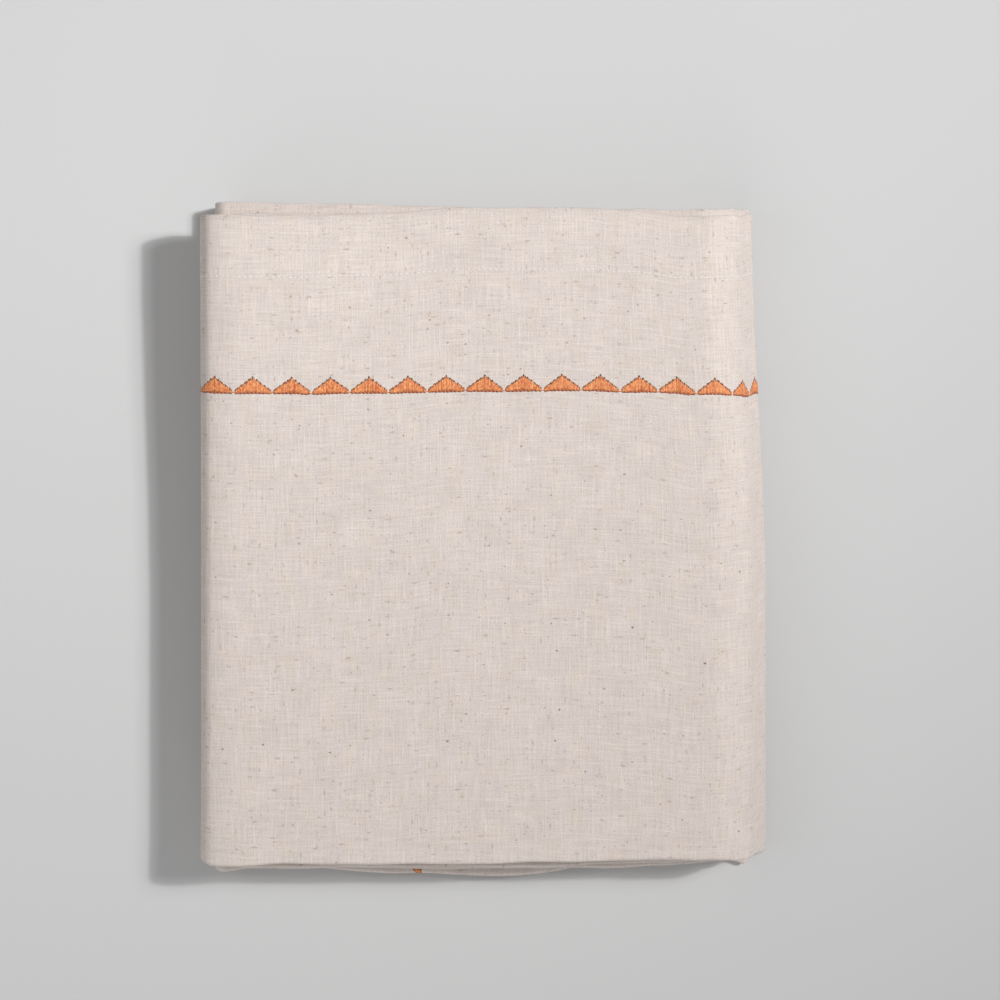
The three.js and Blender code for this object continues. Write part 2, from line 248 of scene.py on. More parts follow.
EDGE_ROWS = tuple(EdgeRow(*values) for values in (
    (0.0, -173.9, 174.7, 173.7, 173.2), (0.5, -173.5, 175.7, 175.2, 174.2),
    (1.0, -173.3, 176.2, 174.7, 175.2), (1.1, -173.8, 175.9, 175.3, 175.1),
    (1.2, -176.3, 175.7, 176.1, 174.9), (1.5, -178.6, 175.7, 176.2, 174.7),
    (1.75, -178.3, 175.6, 175.7, 174.5), (1.95, -178.9, 175.5, 175.3, 174.3),
    (2.0, -175.3, 175.6, 175.5, 174.5), (2.05, -173.8, 176.2, 175.7, 174.7),
    (2.1, -175.6, 175.4, 175.7, 175.1), (2.25, -175.0, 174.8, 175.9, 175.3),
    (2.35, -174.7, 176.3, 176.5, 175.9), (2.58, -174.6, 179.8, 178.7, 177.1),
    (2.75, -173.3, 179.6, 179.5, 177.7), (2.87, -172.5, 178.9, 179.5, 178.0),
    (2.97, -172.9, 174.9, 178.4, 177.8), (3.0, -172.2, 175.3, 178.9, 178.1),
    (3.07, -172.4, 177.3, 180.9, 180.0), (3.13, -174.0, 180.4, 183.5, 182.6),
    (3.2, -176.0, 181.5, 183.3, 182.6), (3.209, -180.9, 181.2, 183.0, 182.4),
    (3.235, -178.4, 181.0, 182.6, 182.2), (3.27, -177.7, 180.9, 182.1, 182.1),
    (3.5, -178.3, 180.7, 179.7, 181.7), (3.9, -179.4, 185.3, 183.7, 184.3),
    (3.975, -180.0, 186.2, 184.7, 185.2), (4.0, -182.9, 186.5, 185.1, 185.5),
    (4.1, -182.6, 186.6, 184.9, 185.1), (4.12, -180.4, 186.5, 184.7, 184.9),
    (4.22, -181.1, 185.1, 183.9, 184.1), (4.34, -180.4, 184.9, 183.5, 183.7),
    (4.54, -181.2, 183.3, 182.3, 182.7), (4.76, -180.4, 180.7, 180.1, 180.1),
    (4.9, -179.5, 179.3, 178.3, 177.9), (4.96, -176.9, 179.0, 178.2, 177.5),
    (5.0, -176.1, 178.9, 178.1, 177.3), (5.1, -175.7, 178.9, 178.1, 177.3),
    (5.36, -179.7, 181.3, 180.9, 180.3), (5.41, -183.3, 181.7, 181.3, 180.7),
    (5.48, -186.1, 182.0, 181.6, 181.0), (5.55, -186.6, 182.2, 181.8, 181.2),
    (5.61, -186.1, 182.3, 181.9, 181.4), (5.71, -184.9, 182.6, 182.2, 181.7),
    (5.78, -184.3, 182.9, 182.5, 182.0), (5.82, -183.5, 183.1, 182.7, 182.2),
    (5.88, -180.3, 183.5, 182.9, 182.6), (6.0, -179.3, 184.7, 183.7, 184.1),
))


@dataclass(frozen=True)
class Stations:
    """Places along the strip's middle line: position, heading, distance in panels and length of cloth."""

    x: Array
    z: Array
    heading: Array
    panels: Array
    length: Array


@dataclass(frozen=True)
class EdgeLines:
    """The strip's four edge lines at many stations."""

    front: Array
    first_hem: Array
    second_hem: Array
    back_fold: Array


@dataclass(frozen=True)
class EdgeTable:
    """Reads the edge rows between their places, with a little waviness of its own on each line."""

    rows: tuple[EdgeRow, ...] = EDGE_ROWS
    wave: float = 0.35
    wavelength: float = 46.0
    seed: int = 11

    def line(self, name: str, stations: Stations, seed: int) -> Array:
        """One edge line at every station.

        Args:
            name: the line's field in an edge row.
            stations: the stations along the strip.
            seed: picks the line's waviness.

        Returns:
            The line's Y at each station.
        """
        at = np.array([row.at for row in self.rows])
        value = np.array([getattr(row, name) for row in self.rows])
        index = np.clip(np.searchsorted(at, stations.panels, side="right"), 1, len(at) - 1)
        share = eased(stations.panels, at[index - 1], at[index])
        ripple = Ripple(self.wave, self.wavelength, seed).at(stations.length, 0.0)
        return value[index - 1] + (value[index] - value[index - 1]) * share + ripple

    def at(self, stations: Stations) -> EdgeLines:
        """All four lines at every station.

        Args:
            stations: the stations along the strip.

        Returns:
            The edge lines.
        """
        names = ("front", "first_hem", "second_hem", "back_fold")
        return EdgeLines(*(self.line(name, stations, self.seed + i) for i, name in enumerate(names)))


@dataclass
class StripWalk:
    """The strip's middle line in the XZ plane, drawn like a walk in which every bend turns right."""

    x: float
    z: float
    outer: float  # the first layer's height above the middle line
    heading: float = 0.0
    panels: float = 0.0
    length: float = 0.0
    closest: float = 0.4  # the least distance between the stations of a flat run
    digits: int = 4  # places nearer than this many decimals of a millimetre are one
    marks: list[tuple[float, ...]] = field(default_factory=list)

    def mark(self) -> None:
        """Keeps the present place as a station."""
        self.marks.append((self.x, self.z, self.heading, self.panels, self.length))

    def advance(self, distance: float) -> None:
        """Goes straight on by a distance."""
        self.x += distance * math.cos(self.heading)
        self.z += distance * math.sin(self.heading)
        self.length += distance

    def run_to(self, x: float, step: float, close: tuple[float, ...] = ()) -> None:
        """A panel's flat run.

        Args:
            x: where the run ends.
            step: the largest distance between stations.
            close: more distances from the run's start at which a station is wanted.
        """
        run = abs(x - self.x)
        even = np.linspace(0.0, run, math.ceil(run / step) + 1)
        places = np.unique(np.round(np.concatenate([even, close]), self.digits))
        keep = [0.0]
        for place in places[1:]:
            if place - keep[-1] > self.closest:
                keep.append(float(place))
        keep[-1] = run
        start, end = self.panels, math.floor(self.panels + BEND_SHARE / 2.0) + 1.0
        for before, after in zip(keep, keep[1:]):
            self.advance(after - before)
            self.panels = start + (end - start) * after / run
            self.mark()
        self.panels = end

    def slope(self, distance: float, count: int, panel_share: float = 0.0) -> None:
        """Goes straight on between two bends.

        Args:
            distance: how far.
            count: the number of steps.
            panel_share: how far it goes along the strip, in panels.
        """
        for _ in range(count):
            self.advance(distance / count)
            self.panels += panel_share / count
            self.mark()

    def turn(self, radius: float, angle: float, count: int, panel_share: float = BEND_SHARE) -> None:
        """A bend about a centre on the right-hand side.

        Args:
            radius: from the centre to the middle line.
            angle: how far it turns, in degrees.
            count: the number of steps.
            panel_share: how far it goes along the strip, in panels.
        """
        centre_x = self.x + radius * math.sin(self.heading)
        centre_z = self.z - radius * math.cos(self.heading)
        start_heading = self.heading
        start_length = self.length
        start_panels = self.panels
        for i in range(1, count + 1):
            turned = math.radians(angle) * i / count
            self.heading = start_heading - turned
            self.x = centre_x - radius * math.sin(self.heading)
            self.z = centre_z + radius * math.cos(self.heading)
            self.length = start_length + (radius + self.outer) * turned
            self.panels = start_panels + panel_share * i / count
            self.mark()

    def left_bend(self, radius: float, pitch: float, quarter: int, rise: int) -> None:
        """The bend that joins two panels with one more between them: two quarters and a straight rise.

        Args:
            radius: of the quarters.
            pitch: from one panel to the next.
            quarter: the number of steps of a quarter.
            rise: the number of steps of the rise.
        """
        self.turn(radius, 90.0, quarter, BEND_SHARE / 2.0)
        self.slope(2.0 * (pitch - radius), rise)
        self.turn(radius, 90.0, quarter, BEND_SHARE / 2.0)


@dataclass(frozen=True)
class Unevenness:
    """How the bundle departs from a neat stack."""

    spine_lean: float = 7.6
    lean_y: Ramp = Ramp(-30.0, 176.0)
    lean_x: Ramp = Ramp(20.0, 150.0)
    dish: float = 0.03
    dish_half_width: float = 150.0
    dish_half_depth: float = 180.0
    height: float = 46.5
    corner_rise: float = 5.5
    rise_x: Ramp = Ramp(-20.0, -150.0)
    rise_y: Ramp = Ramp(-20.0, 160.0)
    rise_from_z: float = 23.2
    left_edge: float = -156.0
    left_squash: float = 0.125  # the share of its height that the left edge loses
    squash_width: float = 28.0
    squash_curve: float = 2.9
    front_press: float = 4.8  # how far the folds under the top panel rise at the front, where it is thin
    press_y: Ramp = Ramp(-148.0, -170.0)
    press_grows_z: Ramp = Ramp(12.0, 36.0)
    press_ends_z: Ramp = Ramp(36.0, 46.6)
    relief: Ripple = Ripple(0.3, 120.0, 5)
    panel_ripple: Ripple = Ripple(0.26, 70.0, 21)
    layer_ripple: Ripple = Ripple(0.24, 44.0, 33)
    layer_change: float = 1.3  # how unlike the ripples of two neighbouring layers are
    top_calm: float = 0.75  # how much weaker the ripples are on the top
    bend_calm: int = 4  # how soon the ripples end where the strip turns
    above_top: Ramp = Ramp(0.0, 0.8)  # by layer: where the cloth leaves the top
    above_table: Ramp = Ramp(0.3, 1.0)  # and where it leaves the table

    def warp(self, x: Array, y: Array, z: Array) -> tuple[Array, Array, Array]:
        """Leans the spine in at the back, lifts the back left corner, and lets the top and edges sink.

        Args:
            x: X of the neat stack.
            y: Y of the neat stack.
            z: Z of the neat stack.

        Returns:
            The three coordinates in the uneven bundle.
        """
        lean = self.lean_y.at(y) * self.lean_x.at(x)
        across_x = np.maximum(0.0, 1.0 - (x / self.dish_half_width) ** 2)
        across_y = np.maximum(0.0, 1.0 - (y / self.dish_half_depth) ** 2)
        swell = self.relief.at(x, y) / self.height * across_x
        upward = np.maximum(0.0, (z - self.rise_from_z) / (self.height - self.rise_from_z))
        corner = self.corner_rise * (self.rise_x.at(x) * self.rise_y.at(y)) * upward
        height = z * (1.0 - self.dish * across_x * across_y + swell) + corner
        return x - self.spine_lean * lean, y, (height + self.pressed(y, z)) * self.squashed(x)

    def squashed(self, x: Array) -> Array:
        """The share of its height that the bundle keeps near its soft left edge."""
        near = np.clip(1.0 - (x - self.left_edge) / self.squash_width, 0.0, 1.0)
        return 1.0 - self.left_squash * near ** self.squash_curve

    def pressed(self, y: Array, z: Array) -> Array:
        """How far the folds rise at the front edge, where those above them are pressed thin.

        Args:
            y: Y of the neat stack.
            z: Z of the neat stack.

        Returns:
            The rise.
        """
        level = self.press_grows_z.at(z)
        return self.front_press * self.press_y.at(y) * level * (1.0 - self.press_ends_z.at(z))


@dataclass
class Section:
    """The cloth's middle line across the strip at every station, gathered run by run and fold by fold.

    A point has its height in the strip, its Y at each station, the direction that the right side faces, and
    the number of its layer, which passes from one whole number to the next round a fold.
    """

    height: list[Array] = field(default_factory=list)
    y: list[Array] = field(default_factory=list)
    face_height: list[Array] = field(default_factory=list)
    face_y: list[Array] = field(default_factory=list)
    layer: list[Array] = field(default_factory=list)

    def run(self, height: float, ends: tuple[Array, Array], facing: int, count: int, layer: int) -> None:
        """A flat layer.

        Args:
            height: the layer's height in the strip.
            ends: its Y at each station where it starts and where it ends.
            facing: 1 if its right side faces up in the strip, -1 if down.
            count: the number of steps.
            layer: the layer's number.
        """
        share = np.linspace(0.0, 1.0, count + 1)
        self.y.append(ends[0][:, None] + (ends[1] - ends[0])[:, None] * share)
        self.height.append(np.full(count + 1, height))
        self.face_height.append(np.full(count + 1, float(facing)))
        self.face_y.append(np.zeros(count + 1))
        self.layer.append(np.full(count + 1, float(layer)))

    def fold(self, heights: tuple[float, float], centre: Array, towards: int, facing: int, count: int,
             layer: int, depth: float | None = None) -> None:
        """A round or oval fold, without its two ends, which belong to the layers that it joins.

        Args:
            heights: the heights in the strip of the layers that it joins.
            centre: its centre's Y at each station.
            towards: 1 if it bulges towards the back, -1 if towards the front.
            facing: 1 if the right side is on the fold's outside, -1 if on its inside.
            count: the number of steps.
            layer: the number of the layer that it leaves.
            depth: how deep an oval fold is; a round one is half as deep as it is high.
        """
        radius = abs(heights[0] - heights[1]) / 2.0
        depth = depth or radius
        middle = (heights[0] + heights[1]) / 2.0
        start_side = math.copysign(1.0, heights[0] - heights[1])
        share = np.arange(1, count) / count
        out_height = start_side * np.cos(math.pi * share)
        out_y = towards * np.sin(math.pi * share)
        steepness = np.hypot(depth * out_height, radius * out_y)
        self.y.append(centre[:, None] + depth * out_y)
        self.height.append(middle + radius * out_height)
        self.face_height.append(facing * depth * out_height / steepness)
        self.face_y.append(facing * radius * out_y / steepness)
        self.layer.append(layer + share)

    def joined(self) -> tuple[Array, Array, Array, Array, Array]:
        """Height, Y, facing in height, facing in Y and layer of all points."""
        height, face_height, face_y, layer = (
            np.concatenate(parts) for parts in (self.height, self.face_height, self.face_y, self.layer))
        return height, np.concatenate(self.y, axis=1), face_height, face_y, layer


class Edge(Enum):
    """The four edges of the flat cloth."""

    FIRST_HEM = "along the first layer, on the outside of the bundle"
    SECOND_HEM = "along the second layer"
    UPPER_END = "across the strip's end in the upper half"
    LOWER_END = "across the strip's end in the lower half"


@dataclass
class FoldedCloth:
    """The tablecloth: one sheet that follows all the folds of its CAD solid, with hems and unevenness."""

    cloth: Cloth = Cloth()
    layers: Layers = Layers()
    bundle: Bundle = Bundle()
    fineness: Fineness = Fineness()
    edges: EdgeTable = EdgeTable()
    unevenness: Unevenness = Unevenness()

    def __post_init__(self) -> None:
        """Works out the grid of the cloth's two faces, and each grid point's place in the flat cloth."""
        self.stations = self.walk()
        lines = self.edges.at(self.stations)
        height, y, face_height, face_y, layer = self.section(lines).joined()
        self.v = self.widths(height, y)
        self.u = self.stations.length
        height = height + self.ripples(y, layer)
        hem = self.hem_mask()
        lift = self.cloth.hem_rise * hem * self.on_top(layer)
        under = -self.cloth.half - self.cloth.hem_extra * hem
        self.right = self.place(height, y, face_height, face_y, self.cloth.half + lift)
        self.wrong = self.place(height, y, face_height, face_y, under)

    def walk(self) -> Stations:
        """Walks the strip from its free end in the upper half to the one in the lower half.

        Returns:
            The stations.
        """
        b, f = self.bundle, self.fineness
        hem = tuple(self.cloth.hem_depth + side * 0.5 * self.cloth.hem_step for side in (-1.0, 1.0))
        walk = StripWalk(b.upper_end, b.base_height + b.first_level * b.pitch, self.layers.first)
        walk.mark()
        walk.run_to(b.upper_inner_fold, f.hidden_step, hem)
        walk.turn(b.pitch / 2.0, 180.0, f.inner_bend)
        walk.run_to(b.upper_left_fold, f.hidden_step)
        walk.left_bend(b.left_radius, b.pitch, f.left_quarter, f.left_rise)
        walk.run_to(b.spine_start, f.top_step)
        sine, cosine = math.sin(math.radians(b.slope_angle)), math.cos(math.radians(b.slope_angle))
        round_drop = b.shoulder_radius * (1.0 - cosine) + b.foot_radius * (1.0 + cosine)
        turn_share = BEND_SHARE - b.slope_share / 2.0
        walk.turn(b.shoulder_radius, b.slope_angle, f.shoulder, turn_share)
        walk.slope((b.top_level * b.pitch - round_drop) / sine, f.slope, b.slope_share)
        walk.turn(b.foot_radius, 180.0 - b.slope_angle, f.foot, turn_share)
        walk.run_to(b.lower_left_fold, f.under_step, f.after_foot)
        walk.left_bend(b.left_radius, b.pitch, f.left_quarter, f.left_rise)
        walk.run_to(b.lower_inner_fold, f.hidden_step)
        walk.turn(b.pitch / 2.0, 180.0, f.inner_bend)
        last = abs(b.lower_end - b.lower_inner_fold)
        walk.run_to(b.lower_end, f.hidden_step, tuple(last - depth for depth in hem))
        return Stations(*(np.array(column) for column in zip(*walk.marks)))

    def section(self, lines: EdgeLines) -> Section:
        """The strip's section: down the first layer, up the fourth, down the third and up the second.

        Args:
            lines: the strip's edge lines.

        Returns:
            The section at every station.
        """
        n, f = self.layers, self.fineness
        front = lines.front + self.cloth.half + n.front_depth
        inner = front + n.inner_setback
        back = lines.back_fold - self.cloth.half - (n.third - n.fourth) / 2.0
        section = Section()
        section.run(n.first, (lines.first_hem, front), 1, f.first_layer, 0)
        section.fold((n.first, n.fourth), front, -1, 1, f.front_fold, 0, n.front_depth)
        section.run(n.fourth, (front, back), -1, f.fourth_layer, 1)
        section.fold((n.fourth, n.third), back, 1, 1, f.small_fold, 1)
        section.run(n.third, (back, inner), 1, f.third_layer, 2)
        section.fold((n.third, n.second), inner, -1, -1, f.small_fold, 2)
        section.run(n.second, (inner, lines.second_hem), -1, f.second_layer, 3)
        return section

    @staticmethod
    def widths(height: Array, y: Array) -> Array:
        """The distance across the flat cloth from its first hem to every grid point."""
        steps = np.hypot(np.diff(y, axis=1), np.diff(height)[None, :])
        return np.concatenate([np.zeros((len(y), 1)), np.cumsum(steps, axis=1)], axis=1)

    def ripples(self, y: Array, layer: Array) -> Array:
        """How far each grid point departs from its layer's even height.

        Args:
            y: Y of the grid points.
            layer: the layer number of each point across the strip.

        Returns:
            The change of height in the strip.
        """
        s, way = self.stations, self.unevenness
        along = s.length[:, None]
        flat = np.abs(np.cos(s.heading))[:, None] ** way.bend_calm
        on_table = eased(s.panels, SPINE_BEND, SPINE_BEND + 2.0 * BEND_SHARE)
        on_table = on_table * (1.0 - eased(s.panels, LOWER_BEND, LOWER_BEND + BEND_SHARE))
        free = 1.0 - on_table[:, None] * (1.0 - way.above_table.at(layer))
        quiet = 1.0 - way.top_calm * self.on_top(layer)
        ripple = way.panel_ripple.at(along, y) + way.layer_ripple.at(along, y, way.layer_change * layer)
        return ripple * flat * free * quiet

    def on_top(self, layer: Array) -> Array:
        """Where the first layer of the top panel is.

        Args:
            layer: the layer number of each point across the strip.

        Returns:
            1 on it and 0 elsewhere, passing smoothly round the folds.
        """
        panels = self.stations.panels
        top = eased(panels, TOP_BEND, TOP_BEND + BEND_SHARE)
        top = top * (1.0 - eased(panels, SPINE_BEND, SPINE_BEND + BEND_SHARE))
        return top[:, None] * (1.0 - self.unevenness.above_top.at(layer))

    def hem_mask(self) -> Array:
        """Where the turned-in hems are.

        Returns:
            1 on the hems all round the cloth, 0 inside them.
        """
        depth, step = self.cloth.hem_depth, self.cloth.hem_step
        from_end = np.minimum(self.u, self.u[-1] - self.u)[:, None]
        from_side = np.minimum(self.v, self.v[:, -1:] - self.v)
        return 1.0 - eased(np.minimum(from_end, from_side), depth - step / 2.0, depth + step / 2.0)

    def place(self, height: Array, y: Array, face_height: Array, face_y: Array, offset: Array | float,
              beyond: Array | float = 0.0) -> Array:
        """Brings points of the strip into the bundle.

        Args:
            height: heights in the strip.
            y: Y of the points.
            face_height: the right side's direction, in the strip's height.
            face_y: the right side's direction, in Y.
            offset: how far the points lie towards the right side.
            beyond: how far the points lie past their station along the strip.

        Returns:
            The points, by station and place across the strip.
        """
        s = self.stations
        sine, cosine = np.sin(s.heading)[:, None], np.cos(s.heading)[:, None]
        n = height + face_height * offset
        across = y + face_y * offset
        x = s.x[:, None] - n * sine + beyond * cosine
        z = s.z[:, None] + n * cosine + beyond * sine
        return np.stack(self.unevenness.warp(x, across, z), axis=-1)

    def rounded(self, right: Array, wrong: Array) -> tuple[Array, Array]:
        """The rounded edges along the two side hems.

        Args:
            right: the points on the right side.
            wrong: the points on the wrong side.

        Returns:
            A point past the middle of each end of the section, at every station.
        """
        first = (right[:, 0] + wrong[:, 0]) / 2.0
        last = (right[:, -1] + wrong[:, -1]) / 2.0
        out = np.array([0.0, self.cloth.edge_round, 0.0])
        return first + out, last + out

    def end_ring(self, index: int, neighbour: int) -> tuple[Array, Array]:
        """A slimmer ring just past one end of the strip, which rounds the edge of the end hem.

        Args:
            index: the last station at that end.
            neighbour: the station next to it.

        Returns:
            The ring's points on the right and on the wrong side.
        """
        right, wrong = self.right[index], self.wrong[index]
        middle = (right + wrong) / 2.0
        along = middle - (self.right[neighbour] + self.wrong[neighbour]) / 2.0
        along = along / np.linalg.norm(along, axis=1, keepdims=True) * self.cloth.edge_round
        slim = self.cloth.edge_slim
        return middle + (right - middle) * slim + along, middle + (wrong - middle) * slim + along

    def rings(self) -> tuple[Array, Array]:
        """Closed rings round the strip's section, one for each station and one past each end.

        Returns:
            The rings' points, and their places in the flat cloth.
        """
        starts, ends = self.end_ring(0, 1), self.end_ring(-1, -2)
        right = np.concatenate([starts[0][None], self.right, ends[0][None]])
        wrong = np.concatenate([starts[1][None], self.wrong, ends[1][None]])
        first, last = self.rounded(right, wrong)
        points = np.concatenate([right, last[:, None], wrong[:, ::-1], first[:, None]], axis=1)
        u = np.concatenate([self.u[:1], self.u, self.u[-1:]])
        v = np.concatenate([self.v[:1], self.v, self.v[-1:]])
        v = np.concatenate([v, v[:, -1:], v[:, ::-1], v[:, :1]], axis=1)
        return points, np.stack([np.broadcast_to(u[:, None], v.shape), v], axis=-1)

    @staticmethod
    def faces(rings: int, count: int) -> list[list[int]]:
        """The quads between neighbouring rings, and the strips of faces over the two ends.

        Args:
            rings: the number of rings.
            count: the points of a ring.

        Returns:
            The vertex numbers of each face.
        """
        i, j = np.meshgrid(np.arange(rings - 1), np.arange(count), indexing="ij")
        k = (j + 1) % count
        walls = np.stack([i * count + j, i * count + k, (i + 1) * count + k, (i + 1) * count + j], axis=-1)
        faces = walls.reshape(-1, 4).tolist()
        last = (rings - 1) * count
        for near in range(-1, count // 2 - 1):
            far = count - 2 - near
            corners = list(dict.fromkeys([near % count, far, far - 1, near + 1]))
            faces.append(corners)
            faces.append([last + corner for corner in reversed(corners)])
        return faces

    def build(self) -> bpy.types.Object:
        """Makes the sheet's mesh, with the flat cloth's coordinates as its UV map.

        Returns:
            The cloth.
        """
        points, places = self.rings()
        faces = self.faces(len(points), points.shape[1])
        return new_piece("folded_linen", points.reshape(-1, 3), faces, "flat_cloth", places.reshape(-1, 2))

    def dress(self, piece: bpy.types.Object, finish: bpy.types.Material) -> None:
        """Gives the cloth its material, and lets it stand for its CAD solid.

        Args:
            piece: the cloth.
            finish: its material.
        """
        piece.data.materials.append(finish)
        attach(piece, BODY)
        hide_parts("tablecloth")

    def surface(self, u: Array, v: Array, lift: Array) -> Array:
        """Points on the cloth's right side, by their place in the flat cloth.

        Args:
            u: distances along the flat cloth.
            v: distances across it, from the first hem.
            lift: heights above the right side.

        Returns:
            The points in the bundle.
        """
        row = np.clip(np.searchsorted(self.u, u, side="right") - 1, 0, len(self.u) - 2)
        share = ((u - self.u[row]) / (self.u[row + 1] - self.u[row]))[:, None]
        before, before_out = self.across(row, v)
        after, after_out = self.across(row + 1, v)
        out = before_out + (after_out - before_out) * share
        out = out / np.linalg.norm(out, axis=1, keepdims=True)
        return before + (after - before) * share + out * lift[:, None]

    def across(self, row: Array, v: Array) -> tuple[Array, Array]:
        """Points and outward directions at distances across the cloth, each on its own station.

        Args:
            row: the station of each point.
            v: the distance of each point from the first hem.

        Returns:
            The points, and the directions from the wrong side to the right one.
        """
        widths = self.v[row]
        index = np.clip((widths <= v[:, None]).sum(axis=1) - 1, 0, widths.shape[1] - 2)
        each = np.arange(len(row))
        low, high = widths[each, index], widths[each, index + 1]
        share = np.clip((v - low) / (high - low), 0.0, 1.0)[:, None]
        point = self.right[row, index] * (1.0 - share) + self.right[row, index + 1] * share
        other = self.wrong[row, index] * (1.0 - share) + self.wrong[row, index + 1] * share
        return point, point - other

    def from_edge(self, edge: Edge, along: Array, inward: Array) -> tuple[Array, Array]:
        """Places in the flat cloth, by their distance from one of its edges.

        Args:
            edge: the edge.
            along: distances along the edge.
            inward: distances from the edge towards the middle of the cloth.

        Returns:
            Distances along and across the flat cloth.
        """
        if edge is Edge.FIRST_HEM:
            return along, inward
        if edge is Edge.SECOND_HEM:
            return along, np.interp(along, self.u, self.v[:, -1]) - inward
        if edge is Edge.UPPER_END:
            return inward, along
        return self.u[-1] - inward, along

    def edge_length(self, edge: Edge) -> float:
        """The length of one edge of the flat cloth.

        Args:
            edge: the edge.

        Returns:
            Its length.
        """
        if edge in (Edge.FIRST_HEM, Edge.SECOND_HEM):
            return float(self.u[-1])
        return float(self.v[:, -1].min())

    def row(self, edge: Edge, inward: float, step: float = 3.0) -> tuple[Array, Array, Array]:
        """A row that runs along an edge of the cloth, as it lies in the bundle.

        Args:
            edge: the edge.
            inward: the row's distance from the edge.
            step: the distance between the places at which it is read.

        Returns:
            Distances along the flat cloth's edge, the same measured on the folded cloth, and X there.
        """
        along = np.arange(0.0, self.edge_length(edge), step)
        u, v = self.from_edge(edge, along, np.full(len(along), inward))
        points = self.surface(u, v, np.zeros(len(along)))
        measured = np.concatenate([[0.0], np.cumsum(np.linalg.norm(np.diff(points, axis=0), axis=1))])
        return along, measured, points[:, 0]

    def top_run(self) -> tuple[float, float]:
        """Where the top panel starts and ends along the flat cloth."""
        length, panels = self.stations.length, self.stations.panels
        ends = TOP_BEND + BEND_SHARE, SPINE_BEND
        return tuple(float(length[np.argmax(panels >= end)]) for end in ends)


def deselect() -> None:
    """Leaves nothing selected, so that an operator acts on the new piece alone."""
    bpy.ops.object.select_all(action="DESELECT")


@dataclass(frozen=True)
class StitchForm:
    """One stitch as a small closed form from -1 to 1 in X and Y: full in the middle, with round ends."""

    sides: int
    rings: int
    end_fullness: float
    ends_from: float = 0.55  # how far from the middle the filled out ends begin
    under_from: float = -0.01  # the height below which a vertex is on the underside
    depth_under: float = 0.3

    def model(self) -> tuple[Array, Array]:
        """Models the stitch from a sphere: its ends are filled out and its underside is pressed flat.

        Returns:
            The vertices, and the faces as triangles.
        """
        deselect()
        bpy.ops.mesh.primitive_uv_sphere_add(segments=self.sides, ring_count=self.rings, radius=1.0,
                                             rotation=(math.radians(90.0), 0.0, 0.0))
        stitch = bpy.context.active_object
        bpy.ops.object.transform_apply(location=False, rotation=True, scale=False)
        full = self.end_fullness
        self.stretch(stitch, lambda co: abs(co.y) > self.ends_from, (full, 1.0, full))
        self.stretch(stitch, lambda co: co.z < self.under_from, (1.0, 1.0, self.depth_under))
        modifier = stitch.modifiers.new("triangles", "TRIANGULATE")
        bpy.ops.object.modifier_apply(modifier=modifier.name)
        vertices = np.array([vertex.co for vertex in stitch.data.vertices])
        # sorted, because the order in which the modifier leaves the triangles changes from run to run
        faces = np.array(sorted(tuple(polygon.vertices) for polygon in stitch.data.polygons))
        bpy.data.objects.remove(stitch)
        return vertices, faces

    @staticmethod
    def stretch(stitch: bpy.types.Object, chosen: Callable[[Vector], bool],
                scale: tuple[float, float, float]) -> None:
        """Scales the chosen vertices about the stitch's centre.

        Args:
            stitch: the stitch.
            chosen: says of a vertex's place whether it is scaled.
            scale: the scale along each axis.
        """
        for vertex in stitch.data.vertices:
            vertex.select = chosen(vertex.co)
        bpy.ops.object.mode_set(mode="EDIT")
        bpy.ops.transform.resize(value=scale, center_override=(0.0, 0.0, 0.0))
        bpy.ops.mesh.select_all(action="SELECT")
        bpy.ops.object.mode_set(mode="OBJECT")


